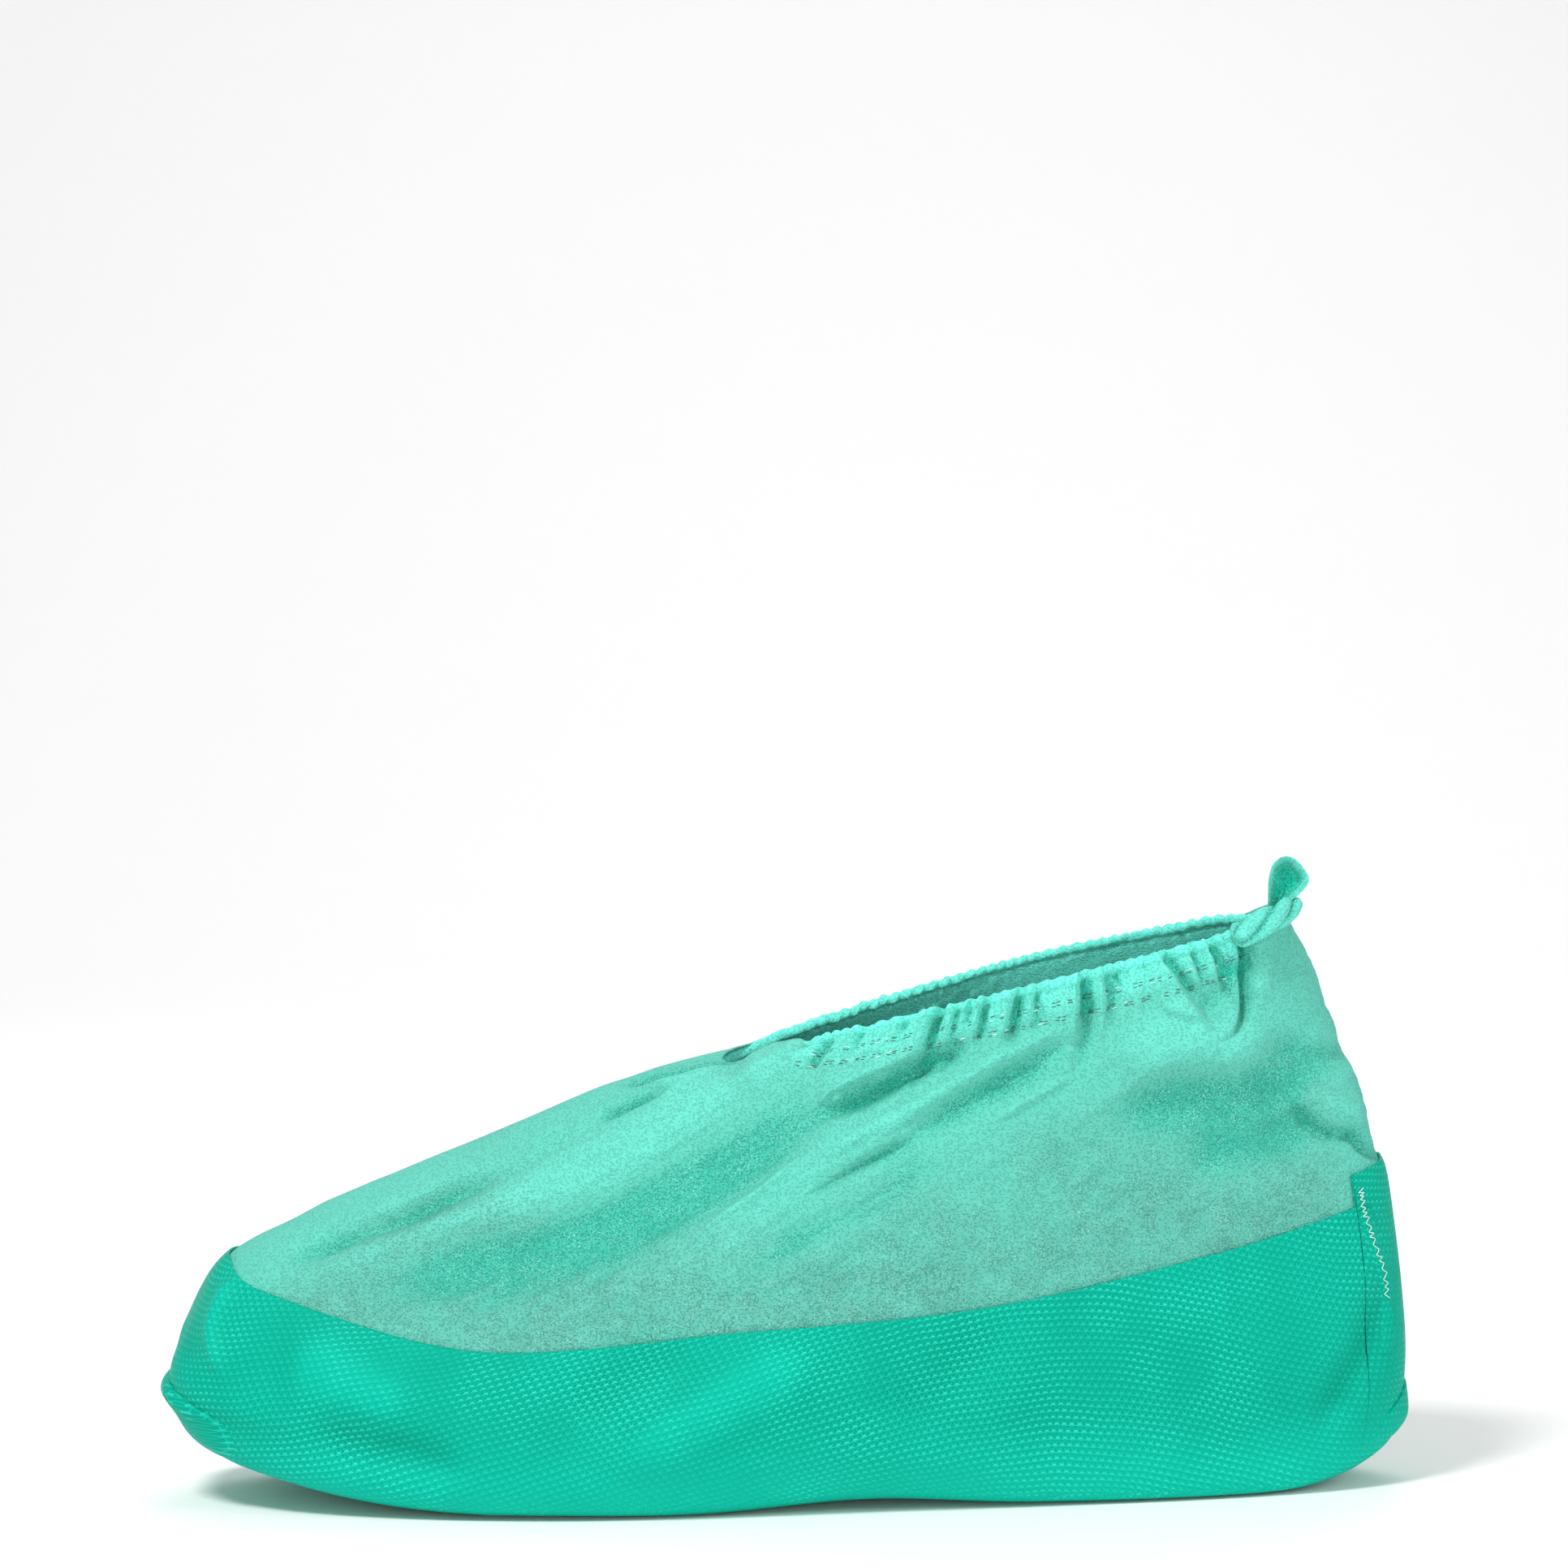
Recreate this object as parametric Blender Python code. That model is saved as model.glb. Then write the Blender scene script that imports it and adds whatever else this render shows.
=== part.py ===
"""Disposable boot cover in the form of a right boot, standing empty on its sole.

Toe towards -X, heel towards +X, inner (medial) side towards -Y, up +Z. Sizes are in millimetres and become
metres only when a mesh is made.
"""

import math
from collections import namedtuple

import bpy
import numpy as np

MM = 0.001

# Driving dimensions
LENGTH = 320.0
BALL_WIDTH = 115.0
HEEL_WIDTH = 82.0
INSTEP_HEIGHT = 112.5   # at the front of the collar
COLLAR_HEIGHT = 149.0   # at the back of the collar

# Walls and fits
FILM_WALL = 0.6
CLOTH_WALL = 0.6
GAP = 0.3
LAP = 0.55          # how far the upper reaches down inside the film, in section steps
HEM_WIDTH = 12.0
HEM_TOP = 3.0       # from the rim down to the upper's own edge
HEM_BEAD = 1.3      # from the rim down to the widest place of the hem's bead

# The sole's underside
FLAT_FRONT = -0.244 * LENGTH
FLAT_BACK = 0.381 * LENGTH
TOE_SPRING = 12.0
SPRING_LENGTH = 0.22 * LENGTH
HEEL_LIFT = 7.0
LIFT_LENGTH = 0.1 * LENGTH
ARCH_RISE = 2.0
ARCH_FRONT = -0.088 * LENGTH
ARCH_BACK = 0.2 * LENGTH
SWING_FROM = 0.19 * LENGTH
TOE_SWING = 7.0     # the toe bends this far towards the inner side

# Stations along a section, as shares of its length
BALL_IN, BALL_OUT, WAIST, HEEL = 0.29, 0.36, 0.58, 0.85
HEIGHT_STATIONS = (0, 0.25, 0.42, 0.62, 0.85, 1)

# One row for each level outline of the shoe, from the tread to the rim, in percent of a driving dimension.
# front, back: x of its two ends, of the length. nose to waist_out: half widths, of the ball width.
# heel, tail: half widths, of the heel width. z_front to z_mid: heights, of the instep height.
# z_waist to z_back: heights, of the collar height. on_ground: share of the underside's rise that is added.
# blunt: roundness of the front end, small is square.
Section = namedtuple(
    "Section",
    "name front back nose ball waist_in waist_out heel tail"
    " z_front z_ball z_mid z_waist z_heel z_back on_ground blunt",
)
SECTIONS = [
    Section("tread", -24.4, 38.1, 31.3, 36.5, 26.1, 28.7, 38.4, 36.6,
            0, 0, 0, 0, 0, 0, 1.0, 0.62),
    Section("forepart", -36.6, 44.1, 38.3, 41.7, 33, 35.7, 43.9, 41.5,
            0.3, 0.3, 0.4, 0.5, 0.2, 0.2, 1.0, 0.62),
    Section("feather", -45.9, 47.8, 43.5, 46.1, 37.8, 40, 48.2, 45.1,
            1.4, 2.3, 2.7, 2.4, 1.7, 1.3, 1.0, 0.62),
    Section("low wall", -48.6, 49.3, 46.1, 49.6, 43, 44.3, 50, 47.6,
            12, 10.7, 11.6, 9.4, 9.1, 6, 0.85, 0.64),
    Section("bulge", -49.4, 49.9, 46.1, 50, 43.9, 45.2, 50, 48.8,
            31.1, 22.2, 24.9, 20.8, 23.5, 25.5, 0, 0.66),
    Section("film edge", -45.9, 48.7, 40, 46.1, 42.2, 43.5, 49.4, 46.3,
            52.9, 37.9, 41.6, 34.1, 42.6, 50.7, 0, 0.75),
    Section("vamp", -39.1, 47.6, 33, 41.7, 40, 40.9, 48.8, 45.1,
            64.5, 47.6, 51.6, 42.6, 53.4, 59.7, 0, 0.85),
    Section("instep", -30.3, 46.4, 29.6, 37.4, 37.8, 38.7, 47.6, 43.9,
            75, 60.4, 64.9, 54, 64.4, 69.5, 0, 0.92),
    Section("tongue", -20.6, 44.8, 26.1, 33.9, 35.7, 36.5, 46.3, 42.7,
            86.2, 75.1, 80, 65.8, 75.2, 77.5, 0, 0.95),
    Section("throat", -11.2, 43.1, 23.5, 31.7, 33.9, 34.8, 44.5, 40.2,
            96.5, 90.7, 95.6, 77.9, 85.6, 87.9, 0, 0.95),
    Section("rim", -5, 40.5, 13.9, 27.8, 32.2, 32.2, 40.2, 36.6,
            100, 108.4, 114.2, 90.9, 96, 100, 0, 0.85),
]
WIDTHS = (BALL_WIDTH,) * 4 + (HEEL_WIDTH,) * 2
HEIGHTS = (INSTEP_HEIGHT,) * 3 + (COLLAR_HEIGHT,) * 3
PERCENT_OF = (LENGTH,) * 2 + WIDTHS + HEIGHTS
TAIL_BLUNT = 0.68
RIM = len(SECTIONS) - 1
FILM_EDGE = [row.name for row in SECTIONS].index("film edge")

# Columns around the shoe, from the toe along the inner side to the heel and back
COLUMNS = 72
FRONT_BLEND = (math.radians(4), math.radians(24))   # where the film's outer half falls to the inner one
BACK_SEAM = math.radians(159)
SEAM_HALF = math.radians(0.5)
OUTER_RISE = (0.2, 0.5)   # how much higher the film's outer half stands at toe and heel, in section steps

# Rows of each shell, in section steps
FILM_ROWS = (0.0, 0.5, 1.0, 1.5, 2.0, 2.4, 3.0, 3.5, 4.0)
UPPER_STEPS = 9

# The gathered hem
GATHERS = 27
GATHER_DEPTH = 1.5
FULLER_PLACES = 5   # places around the rim where the gathers are fuller
FULLER_BY = 0.25
FOOT_SHARE = 0.4    # share of a gather's depth at the hem's foot
BEAD_SHARE = 0.5    # share of a gather's depth at the hem's bead

# The raised lap at the back of the film, which wanders to the middle of the heel and back on its way down
LAP_WIDTH = 5.0
LAP_THICK = 0.9
LAP_ROUND = 0.7     # how much thinner the lap is at its two borders
LAP_GRID = (9, 5)
SeamPlace = namedtuple("SeamPlace", "level degrees")
SEAM_LINE = [
    SeamPlace(3.9, 165.0),
    SeamPlace(4.35, 166.5),
    SeamPlace(4.7, 163.0),
    SeamPlace(4.95, 161.2),
]

# Folded corners of film: middle and reach in radians, foot and head in section steps, thickness in
# millimetres, and the share of the height at which the fold is fullest
Tuck = namedtuple("Tuck", "name middle reach foot head thick lip")
TUCKS = [
    Tuck("toe_tuck", 0.0, math.radians(25), 1.75, 3.75, 2.8, 0.8),
    Tuck("heel_tuck", math.pi, math.radians(17), 2.5, 3.5, 1.7, 0.6),
]
TUCK_EDGE = 0.4
TUCK_MIDDLE = 0.45  # share of a fold's height to which its two ends narrow
TUCK_NARROW = 0.7
TUCK_FALL = 0.75    # how much of its thickness a fold loses above its lip
TUCK_GRID = (8, 13)

# The roll and the loop of spare hem at the back
ROLL_START = math.radians(139.5)
ROLL_END = math.radians(168)
ROLL_STATIONS = (0, 0.3, 0.7, 1)
ROLL_RADII = (2.1, 2.8, 2.4, 1.8)
ROLL_LOBES = 3
ROLL_LOBE = 0.4
ROLL_TURNS = 1.4
ROLL_TILT = (math.radians(5), math.radians(40))
ROLL_RINGS = 17
ROLL_SIDES = 14
BEAD_RADIUS = 1.3   # the hem's bead, which the roll clears
LOOP_PLACE = 0.87   # share of the roll at which the loop stands
LOOP_WIDTH = 9.8
LOOP_HEIGHT = 10.8
LOOP_LEAN = 1.0
LOOP_CUP = 3.4
LOOP_WALL = 0.9
LOOP_LEAF = (0.16, 0.92)   # the stretch of a half wave that gives the leaf its outline
LOOP_GRID = (10, 8)

FILM_COLOUR = (0.008, 0.53, 0.38, 1.0)
CLOTH_COLOUR = (0.17, 0.63, 0.50, 1.0)
HEM_COLOUR = (0.22, 0.74, 0.60, 1.0)
FILM_ROUGHNESS = 0.35
CLOTH_ROUGHNESS = 0.85


def smooth_through(stations, values, at):
    """Values at the places asked for, on a smooth curve through the stations that never overshoots them."""
    stations = np.asarray(stations, float)
    values = np.asarray(values, float)
    steps = np.diff(stations)
    slopes = np.diff(values) / steps
    tangents = np.zeros(len(values))
    for i in range(1, len(values) - 1):
        if slopes[i - 1] * slopes[i] > 0:
            before = 2 * steps[i] + steps[i - 1]
            after = steps[i] + 2 * steps[i - 1]
            tangents[i] = (before + after) / (before / slopes[i - 1] + after / slopes[i])
    tangents[0] = slopes[0]
    tangents[-1] = slopes[-1]
    at = np.clip(at, stations[0], stations[-1])
    k = np.clip(np.searchsorted(stations, at, side="right") - 1, 0, len(steps) - 1)
    t = (at - stations[k]) / steps[k]
    start = values[k] * (1 + 2 * t) * (1 - t) ** 2 + tangents[k] * steps[k] * t * (1 - t) ** 2
    end = values[k + 1] * t * t * (3 - 2 * t) + tangents[k + 1] * steps[k] * t * t * (t - 1)
    return start + end


def sized(row):
    """A section's percentages as millimetres of the driving dimensions."""
    sizes = [share * whole / 100 for share, whole in zip(row[1:], PERCENT_OF)]
    return Section(row.name, *sizes, row.on_ground, row.blunt)


OUTLINES = [sized(row) for row in SECTIONS]


def smooth_step(values, start, end):
    """0 before the start, 1 after the end and an even rise between them."""
    share = np.clip((values - start) / (end - start), 0, 1)
    return share * share * (3 - 2 * share)


def underside(x):
    """Height of the sole's underside: toe spring, low arch and the lifted back edge of the heel."""
    spring = TOE_SPRING * (np.maximum(FLAT_FRONT - x, 0) / SPRING_LENGTH) ** 1.6
    lift = HEEL_LIFT * (np.maximum(x - FLAT_BACK, 0) / LIFT_LENGTH) ** 2
    share = np.clip((x - ARCH_FRONT) / (ARCH_BACK - ARCH_FRONT), 0, 1)
    return spring + lift + ARCH_RISE * np.sin(math.pi * share) ** 2


def centre_line(x):
    """Sideways place of the shoe's middle line, which bends inwards towards the toe."""
    share = np.clip((SWING_FROM - x) / (SWING_FROM + LENGTH / 2), 0, 1)
    return -TOE_SWING * share ** 2


def section_points(row, angles):
    """Points of one level outline at the angles, with shape (angles, 3)."""
    share = (1 - np.cos(angles)) / 2
    inner = np.sin(angles) >= 0
    x = row.front + (row.back - row.front) * share
    inner_width = smooth_through(
        (0, BALL_IN, WAIST, HEEL, 1), (row.nose, row.ball, row.waist_in, row.heel, row.tail), share)
    outer_width = smooth_through(
        (0, BALL_OUT, WAIST, HEEL, 1), (row.nose, row.ball, row.waist_out, row.heel, row.tail), share)
    blunt = row.blunt + (TAIL_BLUNT - row.blunt) * share
    roundness = np.abs(np.sin(angles)) ** blunt
    y = np.where(inner, -inner_width, outer_width) * roundness + centre_line(x)
    heights = (row.z_front, row.z_ball, row.z_mid, row.z_waist, row.z_heel, row.z_back)
    z = smooth_through(HEIGHT_STATIONS, heights, share)
    z = z + row.on_ground * underside(x)
    return np.stack([x, y, z], axis=1)


def surface(angles, levels):
    """Points of the shoe's outer form at pairs of angle and level, on curves through the outlines."""
    angles = np.asarray(angles, float)
    levels = np.broadcast_to(np.asarray(levels, float), angles.shape)
    rows = np.stack([section_points(row, angles) for row in OUTLINES])
    first = 2 * rows[:1] - rows[1:2]
    last = 2 * rows[-1:] - rows[-2:-1]
    rows = np.concatenate([first, rows, last])
    k = np.clip(np.floor(levels).astype(int), 0, RIM - 1)
    t = (levels - k)[:, None]
    each = np.arange(len(angles))
    before, start, end, after = (rows[k + i, each] for i in range(4))
    return 0.5 * (
        2 * start
        + (end - before) * t
        + (2 * before - 5 * start + 4 * end - after) * t ** 2
        + (3 * start - before - 3 * end + after) * t ** 3
    )


def outward(angles, levels):
    """Unit normals of the outer form, pointing out of the shoe."""
    step = 0.01
    levels = np.broadcast_to(np.asarray(levels, float), np.shape(angles))
    around = surface(angles + step, levels) - surface(angles - step, levels)
    up = surface(angles, np.minimum(levels + step, RIM)) - surface(angles, np.maximum(levels - step, 0))
    normal = np.cross(around, up)
    return normal / np.linalg.norm(normal, axis=1)[:, None]


def offset(angles, levels, distance):
    """Points at a distance outside the outer form, or inside it where the distance is negative."""
    distance = np.broadcast_to(np.asarray(distance, float), np.shape(angles))
    return surface(angles, levels) + outward(angles, levels) * distance[:, None]


def column_angles():
    """Angles of the columns: even steps, with a doubled column at the back seam, where the film steps."""
    pitch = 2 * math.pi / COLUMNS
    even = np.arange(COLUMNS // 2 + 1) * pitch
    kept = [a for a in even if abs(a - BACK_SEAM) > pitch / 2]
    inner = np.array(sorted(kept + [BACK_SEAM - SEAM_HALF, BACK_SEAM + SEAM_HALF]))
    outer = 2 * math.pi - inner[-2:0:-1]
    return np.concatenate([inner, outer])


def film_edge_level(angles):
    """Level of the film's top edge: the outer half stands higher, with a step at the back seam."""
    inner_half = smooth_step(angles, *FRONT_BLEND) * (angles < BACK_SEAM)
    towards_heel = (0.5 - 0.5 * np.cos(angles)) ** 3
    rise = OUTER_RISE[0] + (OUTER_RISE[1] - OUTER_RISE[0]) * towards_heel
    return FILM_EDGE + rise * (1 - inner_half)


def level_below_rim(angles, drop):
    """Level that lies a given distance below the rim, measured along the upper."""
    reach = np.linalg.norm(surface(angles, RIM) - surface(angles, RIM - 1.0), axis=1)
    return RIM - drop / reach


def mesh_object(name, points, faces, colour, roughness):
    """A named object from points in millimetres, with its own plain material."""
    mesh = bpy.data.meshes.new(name)
    mesh.from_pydata([tuple(p) for p in np.asarray(points) * MM], [], faces)
    mesh.validate()
    mesh.update()
    material = bpy.data.materials.new(name)
    material.use_nodes = True
    shader = material.node_tree.nodes["Principled BSDF"]
    shader.inputs["Base Color"].default_value = colour
    shader.inputs["Roughness"].default_value = roughness
    mesh.materials.append(material)
    thing = bpy.data.objects.new(name, mesh)
    bpy.context.scene.collection.objects.link(thing)
    return thing


def ring_faces(lower, upper, count, outwards=True, closed=True):
    """Triangles between two rows of points that start at these indices, all cut along one diagonal."""
    faces = []
    for i in range(count if closed else count - 1):
        j = (i + 1) % count
        pair = [(lower + i, lower + j, upper + j), (lower + i, upper + j, upper + i)]
        faces += pair if outwards else [face[::-1] for face in pair]
    return faces


def rungs(start, count, facing_down):
    """Faces across the sole between the inner and outer half of one row, whose columns mirror each other."""
    faces = []
    for i in range(count // 2):
        near, ahead = start + i, start + i + 1
        far, far_ahead = start + (count - i) % count, start + count - i - 1
        face = [near, far, far_ahead, ahead]
        faces.append(tuple(dict.fromkeys(face if facing_down else face[::-1])))
    return faces


def shell(name, angles, level_rows, outside, wall, colour, roughness, closed_below):
    """A thin shell between two offsets of the outer form, closed across its lowest row or open there."""
    count = len(angles)
    rows = len(level_rows)
    outer = [offset(angles, levels, outside) for levels in level_rows]
    inner = [offset(angles, levels, outside - wall) for levels in level_rows]
    faces = []
    for r in range(rows - 1):
        faces += ring_faces(r * count, (r + 1) * count, count)
        faces += ring_faces((rows + r) * count, (rows + r + 1) * count, count, outwards=False)
    faces += ring_faces((rows - 1) * count, (2 * rows - 1) * count, count)
    if closed_below:
        faces += rungs(0, count, True)
        faces += rungs(rows * count, count, False)
    else:
        faces += ring_faces(0, rows * count, count, outwards=False)
    return mesh_object(name, np.concatenate(outer + inner), faces, colour, roughness)


def tube(name, rings, colour, roughness, closed):
    """A solid through rings of points: joined end to end where closed, or else capped at both ends."""
    count = len(rings[0])
    total = len(rings)
    faces = []
    for r in range(total if closed else total - 1):
        faces += ring_faces(r * count, (r + 1) % total * count, count)
    if not closed:
        faces.append(tuple(range(count))[::-1])
        faces.append(tuple(range((total - 1) * count, total * count)))
    return mesh_object(name, np.concatenate(rings), faces, colour, roughness)


def pad(name, low, high, colour, roughness):
    """A solid between two grids of points with the same rows and columns, closed around its border."""
    rows, count = low.shape[:2]
    size = rows * count
    faces = []
    for r in range(rows - 1):
        faces += ring_faces(r * count, (r + 1) * count, count, outwards=False, closed=False)
        faces += ring_faces(size + r * count, size + (r + 1) * count, count, closed=False)
    border = list(range(count))
    border += [r * count + count - 1 for r in range(1, rows)]
    border += [(rows - 1) * count + c for c in range(count - 2, -1, -1)]
    border += [r * count for r in range(rows - 2, 0, -1)]
    for i, start in enumerate(border):
        end = border[(i + 1) % len(border)]
        faces.append((start, end, end + size, start + size))
    points = np.concatenate([low.reshape(-1, 3), high.reshape(-1, 3)])
    return mesh_object(name, points, faces, colour, roughness)


def build_sole_film(angles):
    """The film tray: flat tread, rounded edge and side walls."""
    edge = film_edge_level(angles)
    rows = [np.full(len(angles), level) for level in FILM_ROWS] + [edge - LAP, edge]
    shell("sole_film", angles, rows, 0.0, FILM_WALL, FILM_COLOUR, FILM_ROUGHNESS, True)


def build_upper(angles):
    """The cloth upper, from its lap inside the film to its edge inside the hem."""
    edge = film_edge_level(angles)
    hem_foot = level_below_rim(angles, HEM_WIDTH)
    rows = [edge - LAP]
    rows += [edge + (hem_foot - edge) * step / UPPER_STEPS for step in range(UPPER_STEPS + 1)]
    rows += [level_below_rim(angles, HEM_TOP)]
    shell("upper", angles, rows, -FILM_WALL - GAP, CLOTH_WALL, CLOTH_COLOUR, CLOTH_ROUGHNESS, False)


def gather(angles):
    """Depth of the hem's gathers around the rim, from 0 in a pinch to 1 on a full scallop."""
    points = surface(angles, RIM)
    steps = np.linalg.norm(np.roll(points, -1, axis=0) - points, axis=1)
    share = np.concatenate([[0], np.cumsum(steps)[:-1]]) / steps.sum()
    fullness = 1 - FULLER_BY + FULLER_BY * np.cos(2 * math.pi * FULLER_PLACES * share)
    return fullness * (0.5 - 0.5 * np.cos(2 * math.pi * GATHERS * share))


def on_chords(points):
    """The same ring with every second point moved to the middle of its neighbours."""
    moved = points.copy()
    moved[1::2] = (points[0::2] + np.roll(points[0::2], -1, axis=0)) / 2
    return moved


def build_collar_hem(angles):
    """The hem folded over the upper's edge: a scalloped outside, a bead on top and a slot for the edge."""
    following = np.append(angles[1:], 2 * math.pi)
    fine = np.stack([angles, (angles + following) / 2], axis=1).ravel()
    middle = -FILM_WALL - GAP - CLOTH_WALL / 2
    slot = CLOTH_WALL / 2 + GAP
    fold = slot + CLOTH_WALL
    full = gather(fine) * GATHER_DEPTH
    foot = level_below_rim(fine, HEM_WIDTH)
    waist = level_below_rim(fine, HEM_WIDTH / 2)
    bead = level_below_rim(fine, HEM_BEAD)
    head = level_below_rim(fine, HEM_TOP - GAP)
    lines = [
        offset(fine, foot, middle + fold + FOOT_SHARE * full),
        offset(fine, waist, middle + fold + full),
        offset(fine, bead, middle + fold + BEAD_SHARE * full),
        offset(fine, RIM, middle),
        offset(fine, bead, middle - fold),
        offset(fine, foot, middle - fold),
        on_chords(offset(fine, foot, middle - slot)),
        on_chords(offset(fine, head, middle - slot)),
        on_chords(offset(fine, head, middle + slot)),
        on_chords(offset(fine, foot, middle + slot)),
    ]
    rings = np.stack(lines, axis=1)
    tube("collar_hem", list(rings[:, ::-1]), HEM_COLOUR, CLOTH_ROUGHNESS, True)


def seam_angle(levels):
    """Angle of the back seam at each level."""
    heights = [place.level for place in SEAM_LINE]
    return np.radians(smooth_through(heights, [place.degrees for place in SEAM_LINE], levels))


def build_back_seam():
    """The raised lap where one film half is stitched over the other."""
    levels = np.linspace(SEAM_LINE[0].level, SEAM_LINE[-1].level, LAP_GRID[0])
    across = np.linspace(-1, 1, LAP_GRID[1])
    middle = seam_angle(levels)
    step = 0.01
    around = surface(middle + step, levels) - surface(middle - step, levels)
    reach = np.linalg.norm(around, axis=1) / (2 * step)
    angles = (middle[:, None] + across * (LAP_WIDTH / 2 / reach)[:, None]).ravel()
    levels = np.repeat(levels, LAP_GRID[1])
    thick = GAP + LAP_THICK * (1 - LAP_ROUND * np.tile(across, LAP_GRID[0]) ** 2)
    low = offset(angles, levels, GAP).reshape(*LAP_GRID, 3)
    high = offset(angles, levels, thick).reshape(*LAP_GRID, 3)
    pad("back_seam", low, high, FILM_COLOUR, FILM_ROUGHNESS)


def build_tuck(tuck):
    """A folded corner of film that lies on the tray, pointed at both ends and fullest near its upper lip."""
    up = np.linspace(0, 1, TUCK_GRID[0])
    across = np.linspace(-1, 1, TUCK_GRID[1])
    narrow = 1 - TUCK_NARROW * np.abs(across) ** 1.5
    angles = np.broadcast_to(tuck.middle + tuck.reach * across, TUCK_GRID).ravel()
    height = (tuck.head - tuck.foot) * (up - TUCK_MIDDLE)
    levels = (tuck.foot + (tuck.head - tuck.foot) * TUCK_MIDDLE + height[:, None] * narrow).ravel()
    rise = np.where(up < tuck.lip, up / tuck.lip, 1 - TUCK_FALL * (up - tuck.lip) / (1 - tuck.lip))
    body = np.outer(np.sin(rise * math.pi / 2), 1 - across ** 2)
    low = offset(angles, levels, GAP).reshape(*TUCK_GRID, 3)
    high = offset(angles, levels, GAP + TUCK_EDGE + tuck.thick * body.ravel()).reshape(*TUCK_GRID, 3)
    pad(tuck.name, low, high, FILM_COLOUR, FILM_ROUGHNESS)


def roll_radius(share):
    """Radius of the rolled hem without its lobes, thinner towards both ends."""
    return smooth_through(ROLL_STATIONS, ROLL_RADII, share)


def roll_path(share):
    """Middle line of the rolled hem, which climbs beside the hem's bead."""
    angles = ROLL_START + (ROLL_END - ROLL_START) * share
    bead = offset(angles, level_below_rim(angles, HEM_BEAD), -FILM_WALL - GAP)
    level = outward(angles, RIM)
    level[:, 2] = 0
    level /= np.linalg.norm(level, axis=1)[:, None]
    tilt = (ROLL_TILT[0] + (ROLL_TILT[1] - ROLL_TILT[0]) * share)[:, None]
    clear = (BEAD_RADIUS + GAP + roll_radius(share) + ROLL_LOBE)[:, None]
    return bead + clear * (level * np.cos(tilt) + np.sin(tilt) * (0, 0, 1))


def build_rear_hem_roll():
    """The hem twisted into a lobed roll."""
    share = np.linspace(0, 1, ROLL_RINGS)
    path = roll_path(share)
    turn = -2 * math.pi * np.arange(ROLL_SIDES) / ROLL_SIDES
    rings = []
    for place, ahead, s in zip(path, np.gradient(path, axis=0), share):
        side = np.cross(ahead, (0, 0, 1))
        side /= np.linalg.norm(side)
        up = np.cross(side, ahead / np.linalg.norm(ahead))
        twist = 2 * math.pi * ROLL_TURNS * s
        radius = roll_radius(s) + ROLL_LOBE * np.cos(ROLL_LOBES * turn - twist)
        rings.append(place + np.outer(radius * np.cos(turn), side) + np.outer(radius * np.sin(turn), up))
    tube("rear_hem_roll", rings, HEM_COLOUR, CLOTH_ROUGHNESS, False)


def build_rear_hem_loop():
    """The cupped leaf of spare hem that stands on the end of the roll, hollow towards the inner side."""
    base = roll_path(np.array([LOOP_PLACE]))[0] + (0, 0, roll_radius(LOOP_PLACE) + ROLL_LOBE + GAP)
    up = np.linspace(0, 1, LOOP_GRID[0])[:, None]
    across = np.linspace(-1, 1, LOOP_GRID[1])
    half = LOOP_WIDTH / 2 * np.sin(math.pi * (LOOP_LEAF[0] + (LOOP_LEAF[1] - LOOP_LEAF[0]) * up)) ** 0.7
    x = LOOP_LEAN * up ** 1.5 + half * across
    cup = LOOP_CUP * np.sin(math.pi * up) * (1 - across ** 2)
    z = np.broadcast_to(LOOP_HEIGHT * up, x.shape)
    front = base + np.stack([x, cup, z], axis=2)
    back = base + np.stack([x, cup + LOOP_WALL, z], axis=2)
    pad("rear_hem_loop", back, front, HEM_COLOUR, CLOTH_ROUGHNESS)


def centre_sideways():
    """Move all the pieces level, so that the middle of the cover's box is over the origin."""
    pieces = [thing.data for thing in bpy.data.objects]
    points = np.array([vertex.co for mesh in pieces for vertex in mesh.vertices])
    middle = (points.min(axis=0) + points.max(axis=0)) / 2
    for mesh in pieces:
        for vertex in mesh.vertices:
            vertex.co.x -= middle[0]
            vertex.co.y -= middle[1]


def main():
    for thing in list(bpy.data.objects):
        bpy.data.objects.remove(thing)
    angles = column_angles()
    build_sole_film(angles)
    build_upper(angles)
    build_collar_hem(angles)
    build_back_seam()
    for tuck in TUCKS:
        build_tuck(tuck)
    build_rear_hem_roll()
    build_rear_hem_loop()
    centre_sideways()


main()
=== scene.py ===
"""Looks of the disposable boot cover: creased cloth upper, embossed film foot, gathered hem and stitching.

Sizes are in millimetres in the cover's own form: toe towards -X, inner side towards -Y, up +Z. They become
metres in the frame's own place when a mesh is made.
"""

import math
from collections import namedtuple

import bpy
import numpy as np
from mathutils import Matrix, Vector, noise


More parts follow.
